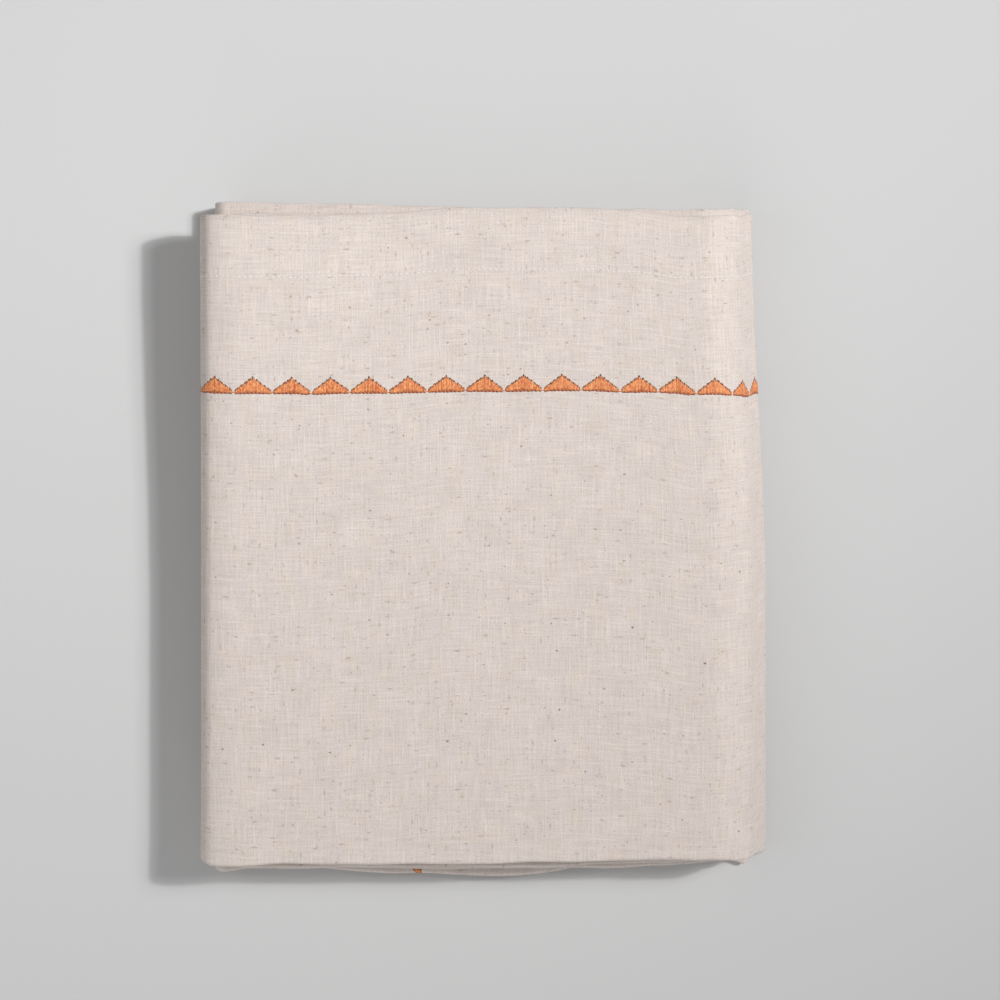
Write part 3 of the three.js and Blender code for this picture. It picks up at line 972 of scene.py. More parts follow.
@dataclass
class Sewing:
    """Many stitches on the flat cloth, each from a start to an end given along and inward from an edge."""

    edge: Edge
    start: Array
    end: Array
    half_width: Array
    height: Array
    tone: Array
    sink: float  # how far the stitch's rim lies under the cloth's surface
    # the stitch's ends are painted dark as shade where the thread dives into the cloth
    start_tuck: float = 0.5  # how much of its start is painted dark as shade, where the thread goes down into the cloth
    end_tuck: float = 0.5
    dark_share: float = 0.35  # of a tuck's painted shade, the part from its very end that is fully dark

    def laid(self, name: str, form: tuple[Array, Array], cloth: FoldedCloth) -> bpy.types.Object:
        """Copies the stitch form to every place and lays it on the folded cloth, as one mesh.

        Args:
            name: the piece's name.
            form: the stitch form's vertices and faces.
            cloth: the cloth.

        Returns:
            The piece, with a UV map along the thread, and for each vertex a tone and the painted shade of
            the tuck, where the thread dives into the cloth.
        """
        vertices, faces = form
        middle, run = (self.start + self.end) / 2.0, (self.end - self.start) / 2.0
        half_length = np.linalg.norm(run, axis=1)
        side = np.stack([run[:, 1], -run[:, 0]], axis=1) / half_length[:, None] * self.half_width[:, None]
        x, y, z = (vertices[:, i][None, :, None] for i in range(3))
        at = (middle[:, None] + run[:, None] * y + side[:, None] * x).reshape(-1, 2)
        lift = (z[..., 0] * self.height[:, None]).ravel() - self.sink
        u, v = cloth.from_edge(self.edge, at[:, 0], at[:, 1])
        points = cloth.surface(u, v, lift)
        points[:, 2] = np.maximum(points[:, 2], 0.0)
        faces = self.outward(points[:len(vertices)], faces)
        offsets = np.arange(len(middle))[:, None, None] * len(vertices)
        thread = np.stack([vertices[None, :, 0] * self.half_width[:, None],
                           vertices[None, :, 1] * half_length[:, None]], axis=-1).reshape(-1, 2)
        piece = new_piece(name, points, (faces[None] + offsets).reshape(-1, 3).tolist(), "thread", thread)
        # painted shade on the stitch's ends, darkest where the thread dives into the cloth
        from_end = half_length[:, None] * (1.0 - np.abs(vertices[:, 1])[None])
        tuck_shade = np.where(vertices[:, 1] > 0.0, self.end_tuck, self.start_tuck)[None]
        self.note(piece.data, "tuck_shade", 1.0 - eased(from_end / tuck_shade, self.dark_share, 1.0))
        self.note(piece.data, "tone", np.broadcast_to(self.tone[:, None], from_end.shape))
        return piece

    @staticmethod
    def outward(points: Array, faces: Array) -> Array:
        """Turns a stitch's faces outwards, because the way onto some edges mirrors its form.

        Args:
            points: one stitch's points on the cloth.
            faces: its triangles.

        Returns:
            The triangles, in the order that makes them face out.
        """
        first, second, third = (points[faces[:, i]] - points.mean(axis=0) for i in range(3))
        volume = (first * np.cross(second, third)).sum()
        return faces if volume > 0.0 else faces[:, ::-1]

    @staticmethod
    def note(mesh: bpy.types.Mesh, name: str, values: Array) -> None:
        """Writes one number for each vertex as an attribute."""
        attribute = mesh.attributes.new(name, "FLOAT", "POINT")
        attribute.data.foreach_set("value", np.ascontiguousarray(values, np.float32).ravel())


def draws(seed: int, edge: Edge) -> np.random.Generator:
    """Random numbers that are the same each time, with a row of their own for each edge."""
    return np.random.default_rng(seed + list(Edge).index(edge))


# the base line on the top panel: the share of the way to the spine, and the distance from the edge
DRIFT = (
    (-0.07, 94.5), (0.0, 95.4), (0.07, 95.1), (0.15, 95.1), (0.22, 95.6), (0.3, 96.2), (0.38, 96.7),
    (0.46, 98.5), (0.62, 98.4), (0.77, 97.9), (0.86, 97.6), (0.94, 95.2), (1.02, 95.8), (1.1, 98.0),
    (1.18, 98.7), (1.3, 98.7),
)


@dataclass(frozen=True)
class Hand:
    """How unevenly the border is sewn: scatter in millimetres, and the least and most share of a size."""

    foot: float = 0.09
    tip: float = 0.06
    reach: float = 0.1
    hole: float = 0.08
    line: float = 0.07
    strand_width: tuple[float, float] = (0.88, 1.14)
    strand_height: tuple[float, float] = (0.8, 1.3)
    hole_length: tuple[float, float] = (0.4, 0.6)  # each way from the hole
    hole_width: tuple[float, float] = (0.8, 1.2)


@dataclass(frozen=True)
class Border:
    """The stitched triangles: rows side by side on a base line all round the cloth, points to the hem.

    Two strands run from each needle hole on a triangle's slopes to its base, and one fills each gap between
    the pairs. Painted shade darkens the thread where it dives into a hole, and dark stitches on the holes
    paint their shade.
    """

    base_from_edge: float = 98.0
    pitch: float = 20.88
    hole_pitch: float = 2.07
    holes_each_side: int = 4
    tallest: float = 8.3  # from the base to the hole at the peak
    step_down: float = 1.62  # from one hole to the next one down the slope
    spread: float = 0.4  # how far apart a hole's two strands end on the base, in hole pitches
    tip_spread: float = 0.12  # how far apart they end at the hole
    gap_setback: float = 0.3  # how far a gap's strand ends below the slope
    gap_width: float = 1.06  # how wide it is, against the others
    past_hole: float = 1.15  # how far a strand goes on beyond its hole, into the cloth
    outermost: float = 4.4  # where the last short strand at each end lies, in hole pitches from the peak
    below_base: float = 0.9
    half_width: float = 0.56
    height: float = 0.45
    strand_tucks: tuple[float, float] = (1.1, 1.2)  # lengths of painted shade where a strand dives into the cloth, at the base and at the slope
    strand_sink: float = 0.08
    line_half_width: float = 0.68
    gap_half_width: float = 0.3
    line_height: float = 0.54
    gap_height: float = 0.6  # of the line in a gap between two triangles, as a share of its height
    gap_reach: tuple[float, float] = (0.6, 2.2)  # how far from a gap's middle the line thickens and is full
    line_overlap: float = 0.42
    line_sink: float = 0.05
    # dark stitches that paint the shade of the needle holes on the slopes
    hole_length: float = 1.0
    hole_half_width: float = 0.46
    hole_height: float = 0.62
    hole_sink: float = 0.02
    peak_at_x: float = 104.1  # one peak on the top panel
    drift: tuple[tuple[float, float], ...] = DRIFT
    hand: Hand = Hand()
    strand_seed: int = 404
    line_seed: int = 414
    hole_seed: int = 424

    @property
    def needle_holes(self) -> Array:
        """The needle holes of one triangle, counted from its peak."""
        return np.arange(-self.holes_each_side, self.holes_each_side + 1)

    def inward(self, cloth: FoldedCloth, edge: Edge, along: Array) -> Array:
        """How far the base line lies from the edge: on the top panel it drifts, as it was sewn by eye.

        Args:
            cloth: the cloth.
            edge: the edge that the line runs along.
            along: distances along the flat cloth.

        Returns:
            The line's distance from the edge at each of them.
        """
        if edge is not Edge.FIRST_HEM:
            return np.full(len(along), self.base_from_edge)
        start, end = cloth.top_run()
        share = (along - start) / (end - start)
        return np.interp(share, *(np.array(column) for column in zip(*self.drift)))

    def peaks(self, cloth: FoldedCloth, edge: Edge) -> tuple[Array, Callable[[Array], Array]]:
        """Where the triangles' peaks lie, measured along the row on the folded cloth.

        Args:
            cloth: the cloth.
            edge: the edge that the row runs along.

        Returns:
            The peaks, and what turns a measured distance into one along the flat cloth.
        """
        along, measured, x = cloth.row(edge, self.base_from_edge)
        start = self.base_from_edge + self.pitch / 2.0
        known = measured[-1] / 2.0
        if edge is Edge.FIRST_HEM:
            top = (along > cloth.top_run()[0]) & (along < cloth.top_run()[1])
            known = float(np.interp(self.peak_at_x, x[top], measured[top]))
        first = known - math.floor((known - start) / self.pitch) * self.pitch
        peaks = np.arange(first, measured[-1] - start, self.pitch)
        return peaks, lambda distance: np.interp(distance, measured, along)

    def triangles(self, cloth: FoldedCloth, edge: Edge) -> Sewing:
        """The satin stitches of one row.

        Args:
            cloth: the cloth.
            edge: the edge that the row runs along.

        Returns:
            The stitches, from the base to the slopes.
        """
        random, hand, holes = draws(self.strand_seed, edge), self.hand, self.needle_holes
        gaps = [-self.outermost, *(holes[:-1] + 0.5), self.outermost]
        # each strand's place on the base and on the slope in hole pitches, the height it loses, its width
        strands = np.array([(hole + side * self.spread / 2.0, hole + side * self.tip_spread / 2.0, 0.0, 1.0)
                            for side in (-1.0, 1.0) for hole in holes]
                           + [(gap, gap, self.gap_setback, self.gap_width) for gap in gaps])
        peaks, flat = self.peaks(cloth, edge)
        each = np.tile(strands, (len(peaks), 1))
        peak = np.repeat(peaks, len(strands))
        count = len(each)
        foot = flat(peak + each[:, 0] * self.hole_pitch + random.normal(0.0, hand.foot, count))
        tip = flat(peak + each[:, 1] * self.hole_pitch + random.normal(0.0, hand.tip, count))
        tall = self.tallest + self.past_hole - np.abs(each[:, 1]) * self.step_down - each[:, 2]
        tall = tall + random.normal(0.0, hand.reach, count)
        base = self.inward(cloth, edge, foot)
        foot_inward = base + self.below_base + random.normal(0.0, hand.reach, count)
        return Sewing(edge, np.stack([foot, foot_inward], axis=1), np.stack([tip, base - tall], axis=1),
                      self.half_width * each[:, 3] * random.uniform(*hand.strand_width, count),
                      self.height * random.uniform(*hand.strand_height, count),
                      random.uniform(0.0, 1.0, count), self.strand_sink, *self.strand_tucks)

    def holes(self, cloth: FoldedCloth, edge: Edge) -> Sewing:
        """Painted shade at the needle holes on the slopes of one row: short dark stitches where the thread
        dives in.

        Args:
            cloth: the cloth.
            edge: the edge that the row runs along.

        Returns:
            The short dark stitches that paint the holes' shade.
        """
        random, hand, holes = draws(self.hole_seed, edge), self.hand, self.needle_holes
        peaks, flat = self.peaks(cloth, edge)
        each = np.tile(holes, len(peaks))
        peak = np.repeat(peaks, len(holes))
        count = len(each)
        along = flat(peak + each * self.hole_pitch + random.normal(0.0, hand.hole, count))
        tall = self.tallest - np.abs(each) * self.step_down
        inward = self.inward(cloth, edge, along) - tall + random.normal(0.0, hand.reach, count)
        half = self.hole_length * random.uniform(*hand.hole_length, count)
        start, end = (np.stack([along, inward + side * half], axis=1) for side in (1.0, -1.0))
        return Sewing(edge, start, end, self.hole_half_width * random.uniform(*hand.hole_width, count),
                      np.full(count, self.hole_height), random.uniform(0.0, 1.0, count), self.hole_sink)

    def base_line(self, cloth: FoldedCloth, edge: Edge) -> Sewing:
        """The line of small stitches under one row, which is thin between the triangles.

        Args:
            cloth: the cloth.
            edge: the edge that the line runs along.

        Returns:
            The stitches.
        """
        random, reach = draws(self.line_seed, edge), self.pitch / 2.0
        peaks, flat = self.peaks(cloth, edge)
        measured = np.arange(peaks[0] - reach, peaks[-1] + reach, self.hole_pitch)
        from_peak = np.abs((measured - peaks[0] + reach) % self.pitch - reach)
        half = self.hole_pitch / 2.0 + self.line_overlap
        start, end = flat(measured - half), flat(measured + half)
        wander = random.normal(0.0, self.hand.line, len(measured))
        inward = self.inward(cloth, edge, (start + end) / 2.0) + wander
        thick = eased(reach - from_peak, *self.gap_reach)
        return Sewing(edge, np.stack([start, inward], axis=1), np.stack([end, inward], axis=1),
                      self.gap_half_width + (self.line_half_width - self.gap_half_width) * thick,
                      self.line_height * (self.gap_height + (1.0 - self.gap_height) * thick),
                      1.0 - thick, self.line_sink)


@dataclass(frozen=True)
class HemSeam:
    """The pale seam that holds the hem down."""

    inward: float = 32.9
    stitch_pitch: float = 3.0
    stitch_length: float = 2.85
    half_width: float = 0.46
    height: float = 0.32
    sink: float = 0.04
    wander: float = 0.1
    seed: int = 77

    def along(self, cloth: FoldedCloth, edge: Edge) -> Sewing:
        """The seam along one edge.

        Args:
            cloth: the cloth.
            edge: the edge.

        Returns:
            The stitches.
        """
        random, half = draws(self.seed, edge), self.stitch_length / 2.0
        along = np.arange(self.inward, cloth.edge_length(edge) - self.inward, self.stitch_pitch)
        count = len(along)
        inward = self.inward + random.normal(0.0, self.wander, count)
        start, end = (np.stack([along + side * half, inward], axis=1) for side in (-1.0, 1.0))
        return Sewing(edge, start, end, np.full(count, self.half_width), np.full(count, self.height),
                      random.uniform(0.0, 1.0, count), self.sink)


class Nodes:
    """Adds nodes to a tree one after another, and joins their sockets."""

    def __init__(self, tree: bpy.types.NodeTree) -> None:
        """Starts with the tree as it is.

        Args:
            tree: a material's tree or a node group.
        """
        self.tree = tree

    def add(self, kind: str, inputs: Inputs | None = None, **settings: object) -> bpy.types.Node:
        """Adds a node.

        Args:
            kind: the node's type.
            inputs: a value, or a socket to join, for each input by name or number.
            settings: the node's own settings.

        Returns:
            The node.
        """
        node = self.tree.nodes.new(kind)
        for name, value in settings.items():
            setattr(node, name, value)
        self.feed(node, inputs or {})
        return node

    def feed(self, node: bpy.types.Node, inputs: Inputs) -> None:
        """Gives a node's inputs their values, or joins sockets to them.

        Args:
            node: the node.
            inputs: a value, or a socket to join, for each input by name or number.
        """
        for name, value in inputs.items():
            if isinstance(value, Socket):
                self.tree.links.new(value, node.inputs[name])
            else:
                node.inputs[name].default_value = value

    def math(self, operation: str, *values: object) -> Socket:
        """A sum or other operation on one, two or three numbers."""
        return self.add("ShaderNodeMath", dict(enumerate(values)), operation=operation).outputs[0]

    def rescaled(self, value: object, low: float, high: float, to_low: float = 0.0,
                 to_high: float = 1.0) -> Socket:
        """Maps a number smoothly from one range to another, and holds it at the ends."""
        inputs = {"Value": value, "From Min": low, "From Max": high, "To Min": to_low, "To Max": to_high}
        return self.add("ShaderNodeMapRange", inputs, interpolation_type="SMOOTHSTEP").outputs["Result"]

    def moved(self, place: object, scale: tuple[float, float], at: tuple[float, float]) -> Socket:
        """A flat coordinate that is scaled along each of its axes, and moved."""
        inputs = {"Vector": place, "Location": (*at, 0.0), "Scale": (*scale, 1.0)}
        return self.add("ShaderNodeMapping", inputs).outputs["Vector"]

    def noise(self, place: object, scale: tuple[float, float], detail: float,
              at: tuple[float, float] = (0.0, 0.0)) -> Socket:
        """Flat noise whose grains can be longer one way than the other.

        Args:
            place: the coordinate.
            scale: grains for each metre, along X and Y.
            detail: how much finer noise it holds.
            at: moves the noise, so that no two are alike.

        Returns:
            The noise, around 0.5.
        """
        inputs = {"Vector": self.moved(place, scale, at), "Scale": 1.0, "Detail": detail}
        return self.add("ShaderNodeTexNoise", inputs, noise_dimensions="2D").outputs["Fac"]

    def mixed(self, share: object, first: object, second: object, blend: str = "MIX") -> Socket:
        """A mix of two colours.

        Args:
            share: how much of the second colour goes into it.
            first: the first colour.
            second: the second colour.
            blend: the way of mixing.

        Returns:
            The mix.
        """
        inputs = {0: share, 6: first, 7: second}  # the node's colour inputs, after those for numbers
        return self.add("ShaderNodeMix", inputs, data_type="RGBA", blend_type=blend).outputs[2]


def new_group(name: str, inputs: dict[str, str],
              outputs: dict[str, str]) -> tuple[Nodes, dict[str, Socket], bpy.types.Node]:
    """Starts a shared node group.

    Args:
        name: the group's name.
        inputs: the type of each input socket.
        outputs: the type of each output socket.

    Returns:
        The group's nodes, its input sockets by name, and its output node.
    """
    tree = bpy.data.node_groups.new(name, "ShaderNodeTree")
    for direction, sockets in (("INPUT", inputs), ("OUTPUT", outputs)):
        for socket, kind in sockets.items():
            tree.interface.new_socket(socket, in_out=direction, socket_type=kind)
    nodes = Nodes(tree)
    source = nodes.add("NodeGroupInput")
    result = nodes.add("NodeGroupOutput")
    return nodes, {socket: source.outputs[socket] for socket in inputs}, result


@dataclass(frozen=True)
class Fleck:
    """One kind of fleck, scattered over the cloth in cells."""

    cells: tuple[float, float]  # for each metre, along the cloth and across it
    radius: float
    share: float  # of the cells that have one
    dark: float
    at: float  # moves the cells


# dark dots, fainter dots, specks, and short dashes across the cloth and along it
FLECKS = (
    Fleck((50.0, 62.0), 0.62, 0.24, 0.95, 0.0),
    Fleck((95.0, 130.0), 0.6, 0.28, 0.6, 3.3),
    Fleck((230.0, 270.0), 0.5, 0.5, 0.34, 8.1),
    Fleck((80.0, 230.0), 0.62, 0.34, 0.38, 5.7),
    Fleck((230.0, 90.0), 0.6, 0.28, 0.34, 7.9),
)


@dataclass(frozen=True)
class WeaveGroup:
    """The plain weave: threads of uneven thickness both ways, flecks of husk, and patches of tone."""

    thread_pitch: float = 0.6
    crossing: float = 0.5  # how high the threads stand where they cross
    streak_length: float = 18.0
    streak_width: float = 0.85
    streak_contrast: float = 0.24
    streak_swell: float = 1.6  # how much a streak thickens its thread
    grain_fineness: tuple[float, float] = (0.8, 1.7)  # along the cloth and across it, for a streak's width
    grain_contrast: float = 0.2
    patches: float = 60.0  # for each metre
    patch_contrast: float = 0.12
    slub_fineness: tuple[float, float] = (0.9, 0.6)  # along a thread and across it, for a streak's size
    slub_range: tuple[float, float] = (0.66, 0.78)  # the noise at which a slub begins and is full
    slub_contrast: float = 0.05
    warm_places: float = 90.0  # for each metre
    warm_range: tuple[float, float] = (0.5, 0.72)
    fleck_grain: float = 1400.0  # what roughens the outline of a fleck, for each metre
    fleck_rough: float = 1.1
    fleck_vary: float = 0.5  # how far flecks of a kind differ in size
    fleck_edge: tuple[float, float] = (0.4, 1.4)  # where a fleck begins to fade and where it ends, in radii
    fleck_least: float = 0.3  # the share of its kind's darkness that the faintest fleck has

    def build(self) -> bpy.types.NodeTree:
        """Makes the group.

        Returns:
            The group, with a shade to multiply the colour by, a warm mask, a fleck mask and a height.
        """
        results = dict.fromkeys(("Shade", "Warm", "Fleck", "Height"), "NodeSocketFloat")
        nodes, given, result = new_group("linen_weave", {"Place": "NodeSocketVector"}, results)
        place = given["Place"]
        long, fine = EACH_METRE / self.streak_length, EACH_METRE / self.streak_width
        weft = nodes.noise(place, (long, fine), detail=2.0)
        warp = nodes.noise(place, (fine, long), detail=2.0, at=(31.0, 7.0))
        grain_along, grain_across = (fine * share for share in self.grain_fineness)
        grain = nodes.noise(place, (grain_along, grain_across), detail=0.0, at=(3.0, 57.0))
        patch = nodes.noise(place, (self.patches, self.patches), detail=4.0, at=(11.0, 23.0))
        along, across = long * self.slub_fineness[0], fine * self.slub_fineness[1]
        slubs = (nodes.noise(place, scale, detail=0.0, at=at)
                 for scale, at in (((along, across), (5.0, 91.0)), ((across, along), (77.0, 13.0))))
        slub = nodes.math("MAXIMUM", *(nodes.rescaled(noise, *self.slub_range) for noise in slubs))
        shade = nodes.math("MULTIPLY_ADD", weft, self.streak_contrast, 1.0 - self.streak_contrast / 2.0)
        for value, contrast in ((warp, self.streak_contrast), (grain, self.grain_contrast),
                                (patch, self.patch_contrast)):
            shade = nodes.math("ADD", shade, nodes.math("MULTIPLY_ADD", value, contrast, -contrast / 2.0))
        shade = nodes.math("MULTIPLY_ADD", slub, self.slub_contrast, shade)
        warm = nodes.noise(place, (self.warm_places, self.warm_places), detail=3.0, at=(63.0, 5.0))
        nodes.feed(result, {"Shade": shade, "Warm": nodes.rescaled(warm, *self.warm_range),
                            "Fleck": self.flecks(nodes, place),
                            "Height": self.height(nodes, place, (weft, warp), slub)})
        return nodes.tree

    def flecks(self, nodes: Nodes, place: Socket) -> Socket:
        """The flecks of all kinds.

        Args:
            nodes: the group's nodes.
            place: the coordinate.

        Returns:
            How dark a fleck is there, from 0 to 1.
        """
        rough = nodes.noise(place, (self.fleck_grain, self.fleck_grain), detail=1.0, at=(9.0, 9.0))
        total = None
        for kind in FLECKS:
            moved = nodes.moved(place, kind.cells, (kind.at, kind.at))
            cells = nodes.add("ShaderNodeTexVoronoi", {"Vector": moved, "Scale": 1.0},
                              voronoi_dimensions="2D").outputs
            draw = nodes.add("ShaderNodeSeparateColor", {"Color": cells["Color"]}).outputs
            size = kind.radius * max(kind.cells) / EACH_METRE
            larger = nodes.math("MULTIPLY", draw[1], self.fleck_vary * size)
            away = nodes.math("SUBTRACT", cells["Distance"], larger)
            away = nodes.math("MULTIPLY_ADD", rough, self.fleck_rough * size, away)
            full, none = (radii * size for radii in self.fleck_edge)
            dot = nodes.rescaled(away, full, none, 1.0, 0.0)
            chosen = nodes.math("LESS_THAN", draw[0], kind.share)
            least = self.fleck_least * kind.dark
            dark = nodes.math("MULTIPLY_ADD", draw[2], kind.dark - least, least)
            spot = nodes.math("MULTIPLY", nodes.math("MULTIPLY", dot, chosen), dark)
            total = spot if total is None else nodes.math("MAXIMUM", total, spot)
        return total

    def height(self, nodes: Nodes, place: Socket, streaks: tuple[Socket, Socket], slub: Socket) -> Socket:
        """The threads passing over and under each other, thicker at the streaks and slubs.

        Args:
            nodes: the group's nodes.
            place: the coordinate.
            streaks: the streaks along the cloth and across it.
            slub: where the slubs are.

        Returns:
            The height.
        """
        axes = nodes.add("ShaderNodeSeparateXYZ", {"Vector": place}).outputs
        turns = math.pi * EACH_METRE / self.thread_pitch
        threads = nodes.math("MULTIPLY", *(nodes.math("SINE", nodes.math("MULTIPLY", axes[i], turns))
                                           for i in range(2)))
        uneven = nodes.math("ADD", *(nodes.math("MULTIPLY", each, self.streak_swell) for each in streaks))
        return nodes.math("ADD", nodes.math("MULTIPLY_ADD", threads, self.crossing, uneven), slub)


@dataclass(frozen=True)
class StrandGroup:
    """The strands of a sewing thread, twisted together, read along the thread, with painted shade between
    the strands and blotches of painted highlight.
    """

    strand_pitch: float = 0.42
    slant: float = 0.32
    shade: float = 0.98  # painted shade between the strands: the colour's share between a strand's lit side and its shaded one
    shade_depth: float = 0.1
    blotches: float = 620.0  # painted highlights and darker places for each metre of thread
    blotch_range: tuple[float, float] = (0.4, 0.6)  # the noise at which a painted highlight begins and is full
    blotch_share: float = 0.6
    tone_apart: float = 40.0  # how far apart in the noise two threads of unlike tone are

    def build(self) -> bpy.types.NodeTree:
        """Makes the group.

        Returns:
            The group, with the painted shade of the strands to multiply the colour by, a height, and how
            far the thread is lightened by its own tone and by painted highlights.
        """
        sockets = {"Place": "NodeSocketVector", "Tone": "NodeSocketFloat"}
        results = dict.fromkeys(("Shade", "Height", "Light"), "NodeSocketFloat")
        nodes, given, result = new_group("thread_strands", sockets, results)
        axes = nodes.add("ShaderNodeSeparateXYZ", {"Vector": given["Place"]}).outputs
        turn = nodes.math("MULTIPLY_ADD", axes[1], self.slant, axes[0])
        turns = 2.0 * math.pi * EACH_METRE / self.strand_pitch
        strand = nodes.math("SINE", nodes.math("MULTIPLY", turn, turns))
        own = nodes.math("MULTIPLY", given["Tone"], self.tone_apart)
        inputs = {"Vector": given["Place"], "W": own, "Scale": self.blotches, "Detail": 1.0}
        blotch = nodes.add("ShaderNodeTexNoise", inputs, noise_dimensions="4D").outputs["Fac"]
        # blotches of painted highlight, mixed with the strand's own random tone
        light = nodes.rescaled(blotch, *self.blotch_range, 0.0, self.blotch_share)
        light = nodes.math("MULTIPLY_ADD", given["Tone"], 1.0 - self.blotch_share, light)
        # the strand's sine paints shade in the grooves between strands, and raises them
        nodes.feed(result, {"Shade": nodes.math("MULTIPLY_ADD", strand, self.shade_depth, self.shade),
                            "Height": nodes.math("MULTIPLY_ADD", strand, 0.5, 0.5), "Light": light})
        return nodes.tree


def new_material(name: str, roughness: float,
                 specular: float) -> tuple[bpy.types.Material, Nodes, bpy.types.Node]:
    """Starts a material.

    Args:
        name: its name.
        roughness: the surface's roughness.
        specular: the strength of its reflection.

    Returns:
        The material, its nodes and its shader.
    """
    material = bpy.data.materials.new(name)
    material.use_nodes = True
    nodes = Nodes(material.node_tree)
    shader = material.node_tree.nodes["Principled BSDF"]
    nodes.feed(shader, {"Roughness": roughness, "Specular IOR Level": specular})
    return material, nodes, shader


def paint(nodes: Nodes, shader: bpy.types.Node, texture: bpy.types.Node,
          tones: tuple[Colour, Colour, Colour], masks: tuple[Socket, Socket],
          bump: tuple[float, float]) -> None:
    """Colours a surface in two tones with marks on them, shaded and raised by its shared group.

    Args:
        nodes: the material's nodes.
        shader: its shader.
        texture: the group, which has a shade and a height.
        tones: the two tones, and the colour of the marks; on a thread, the second tone is partly painted
            highlight and the marks are painted shade.
        masks: where the second tone is, and where the marks are.
        bump: the strength of the relief, and its depth.
    """
    first, second, mark = ((*tone, 1.0) for tone in tones)
    shade = nodes.add("ShaderNodeCombineColor", {i: texture.outputs["Shade"] for i in range(3)})
    shaded = nodes.mixed(1.0, nodes.mixed(masks[0], first, second), shade.outputs["Color"], "MULTIPLY")
    colour = nodes.mixed(masks[1], shaded, mark)
    inputs = {"Height": texture.outputs["Height"], "Strength": bump[0], "Distance": bump[1] * METRES}
    raised = nodes.add("ShaderNodeBump", inputs)
    nodes.feed(shader, {"Base Color": colour, "Normal": raised.outputs["Normal"]})


@dataclass(frozen=True)
class LinenFinish:
    """Matt natural cloth, in the weave's own uneven threads."""

    colour: Colour = (0.618, 0.548, 0.508)
    warm_colour: Colour = (0.618, 0.539, 0.486)
    fleck_colour: Colour = (0.19, 0.082, 0.032)
    roughness: float = 0.9
    specular: float = 0.25
    sheen: float = 0.12
    sheen_roughness: float = 0.4
    bump: tuple[float, float] = (0.35, 0.12)

    def material(self, weave: bpy.types.NodeTree) -> bpy.types.Material:
        """Makes the material.

        Args:
            weave: the weave group.

        Returns:
            The material.
        """
        material, nodes, shader = new_material("linen", self.roughness, self.specular)
        place = nodes.add("ShaderNodeUVMap", uv_map="flat_cloth").outputs["UV"]
        threads = nodes.add("ShaderNodeGroup", {"Place": place}, node_tree=weave)
        tones = self.colour, self.warm_colour, self.fleck_colour
        paint(nodes, shader, threads, tones, (threads.outputs["Warm"], threads.outputs["Fleck"]), self.bump)
        nodes.feed(shader, {"Sheen Weight": self.sheen, "Sheen Roughness": self.sheen_roughness})
        return material


@dataclass(frozen=True)
class ThreadFinish:
    """A twisted sewing thread, with painted highlights along it and painted shade where it goes down into
    the cloth.
    """

    name: str
    colour: Colour
    # a lighter colour for the thread's random tone and its painted highlights
    tone_and_highlight_colour: Colour
    # the painted shade where the thread dives into the cloth
    end_shade_colour: Colour
    roughness: float = 0.5
    specular: float = 0.5
    bump: tuple[float, float] = (0.5, 0.1)

    def material(self, strands: bpy.types.NodeTree) -> bpy.types.Material:
        """Makes the material.

        Args:
            strands: the strand group.

        Returns:
            The material.
        """
        material, nodes, shader = new_material(self.name, self.roughness, self.specular)
        place = nodes.add("ShaderNodeUVMap", uv_map="thread").outputs["UV"]
        tone, tuck_shade = (nodes.add("ShaderNodeAttribute", attribute_name=name).outputs["Fac"]
                      for name in ("tone", "tuck_shade"))
        twist = nodes.add("ShaderNodeGroup", {"Place": place, "Tone": tone}, node_tree=strands)
        tones = self.colour, self.tone_and_highlight_colour, self.end_shade_colour
        paint(nodes, shader, twist, tones, (twist.outputs["Light"], tuck_shade), self.bump)
        return material


# each thread: its colour, a lighter one for its random tone and painted highlights, and a dark one for the
# painted shade where it dives into the cloth
ORANGE_THREAD = ThreadFinish("orange_thread", (0.53, 0.115, 0.026), (0.88, 0.36, 0.13), (0.06, 0.02, 0.01))
# dark brown that paints the shade of the needle holes
HOLE_SHADE_THREAD = ThreadFinish("needle_hole_shade", (0.12, 0.047, 0.018), (0.26, 0.11, 0.045), (0.08, 0.032, 0.013))
BASE_THREAD = ThreadFinish("rust_thread", (0.29, 0.058, 0.016), (0.6, 0.2, 0.09), (0.1, 0.028, 0.012))
SEAM_THREAD = ThreadFinish("pale_thread", (0.77, 0.7, 0.655), (0.83, 0.76, 0.71), (0.69, 0.62, 0.575),
                           roughness=0.8, specular=0.2)


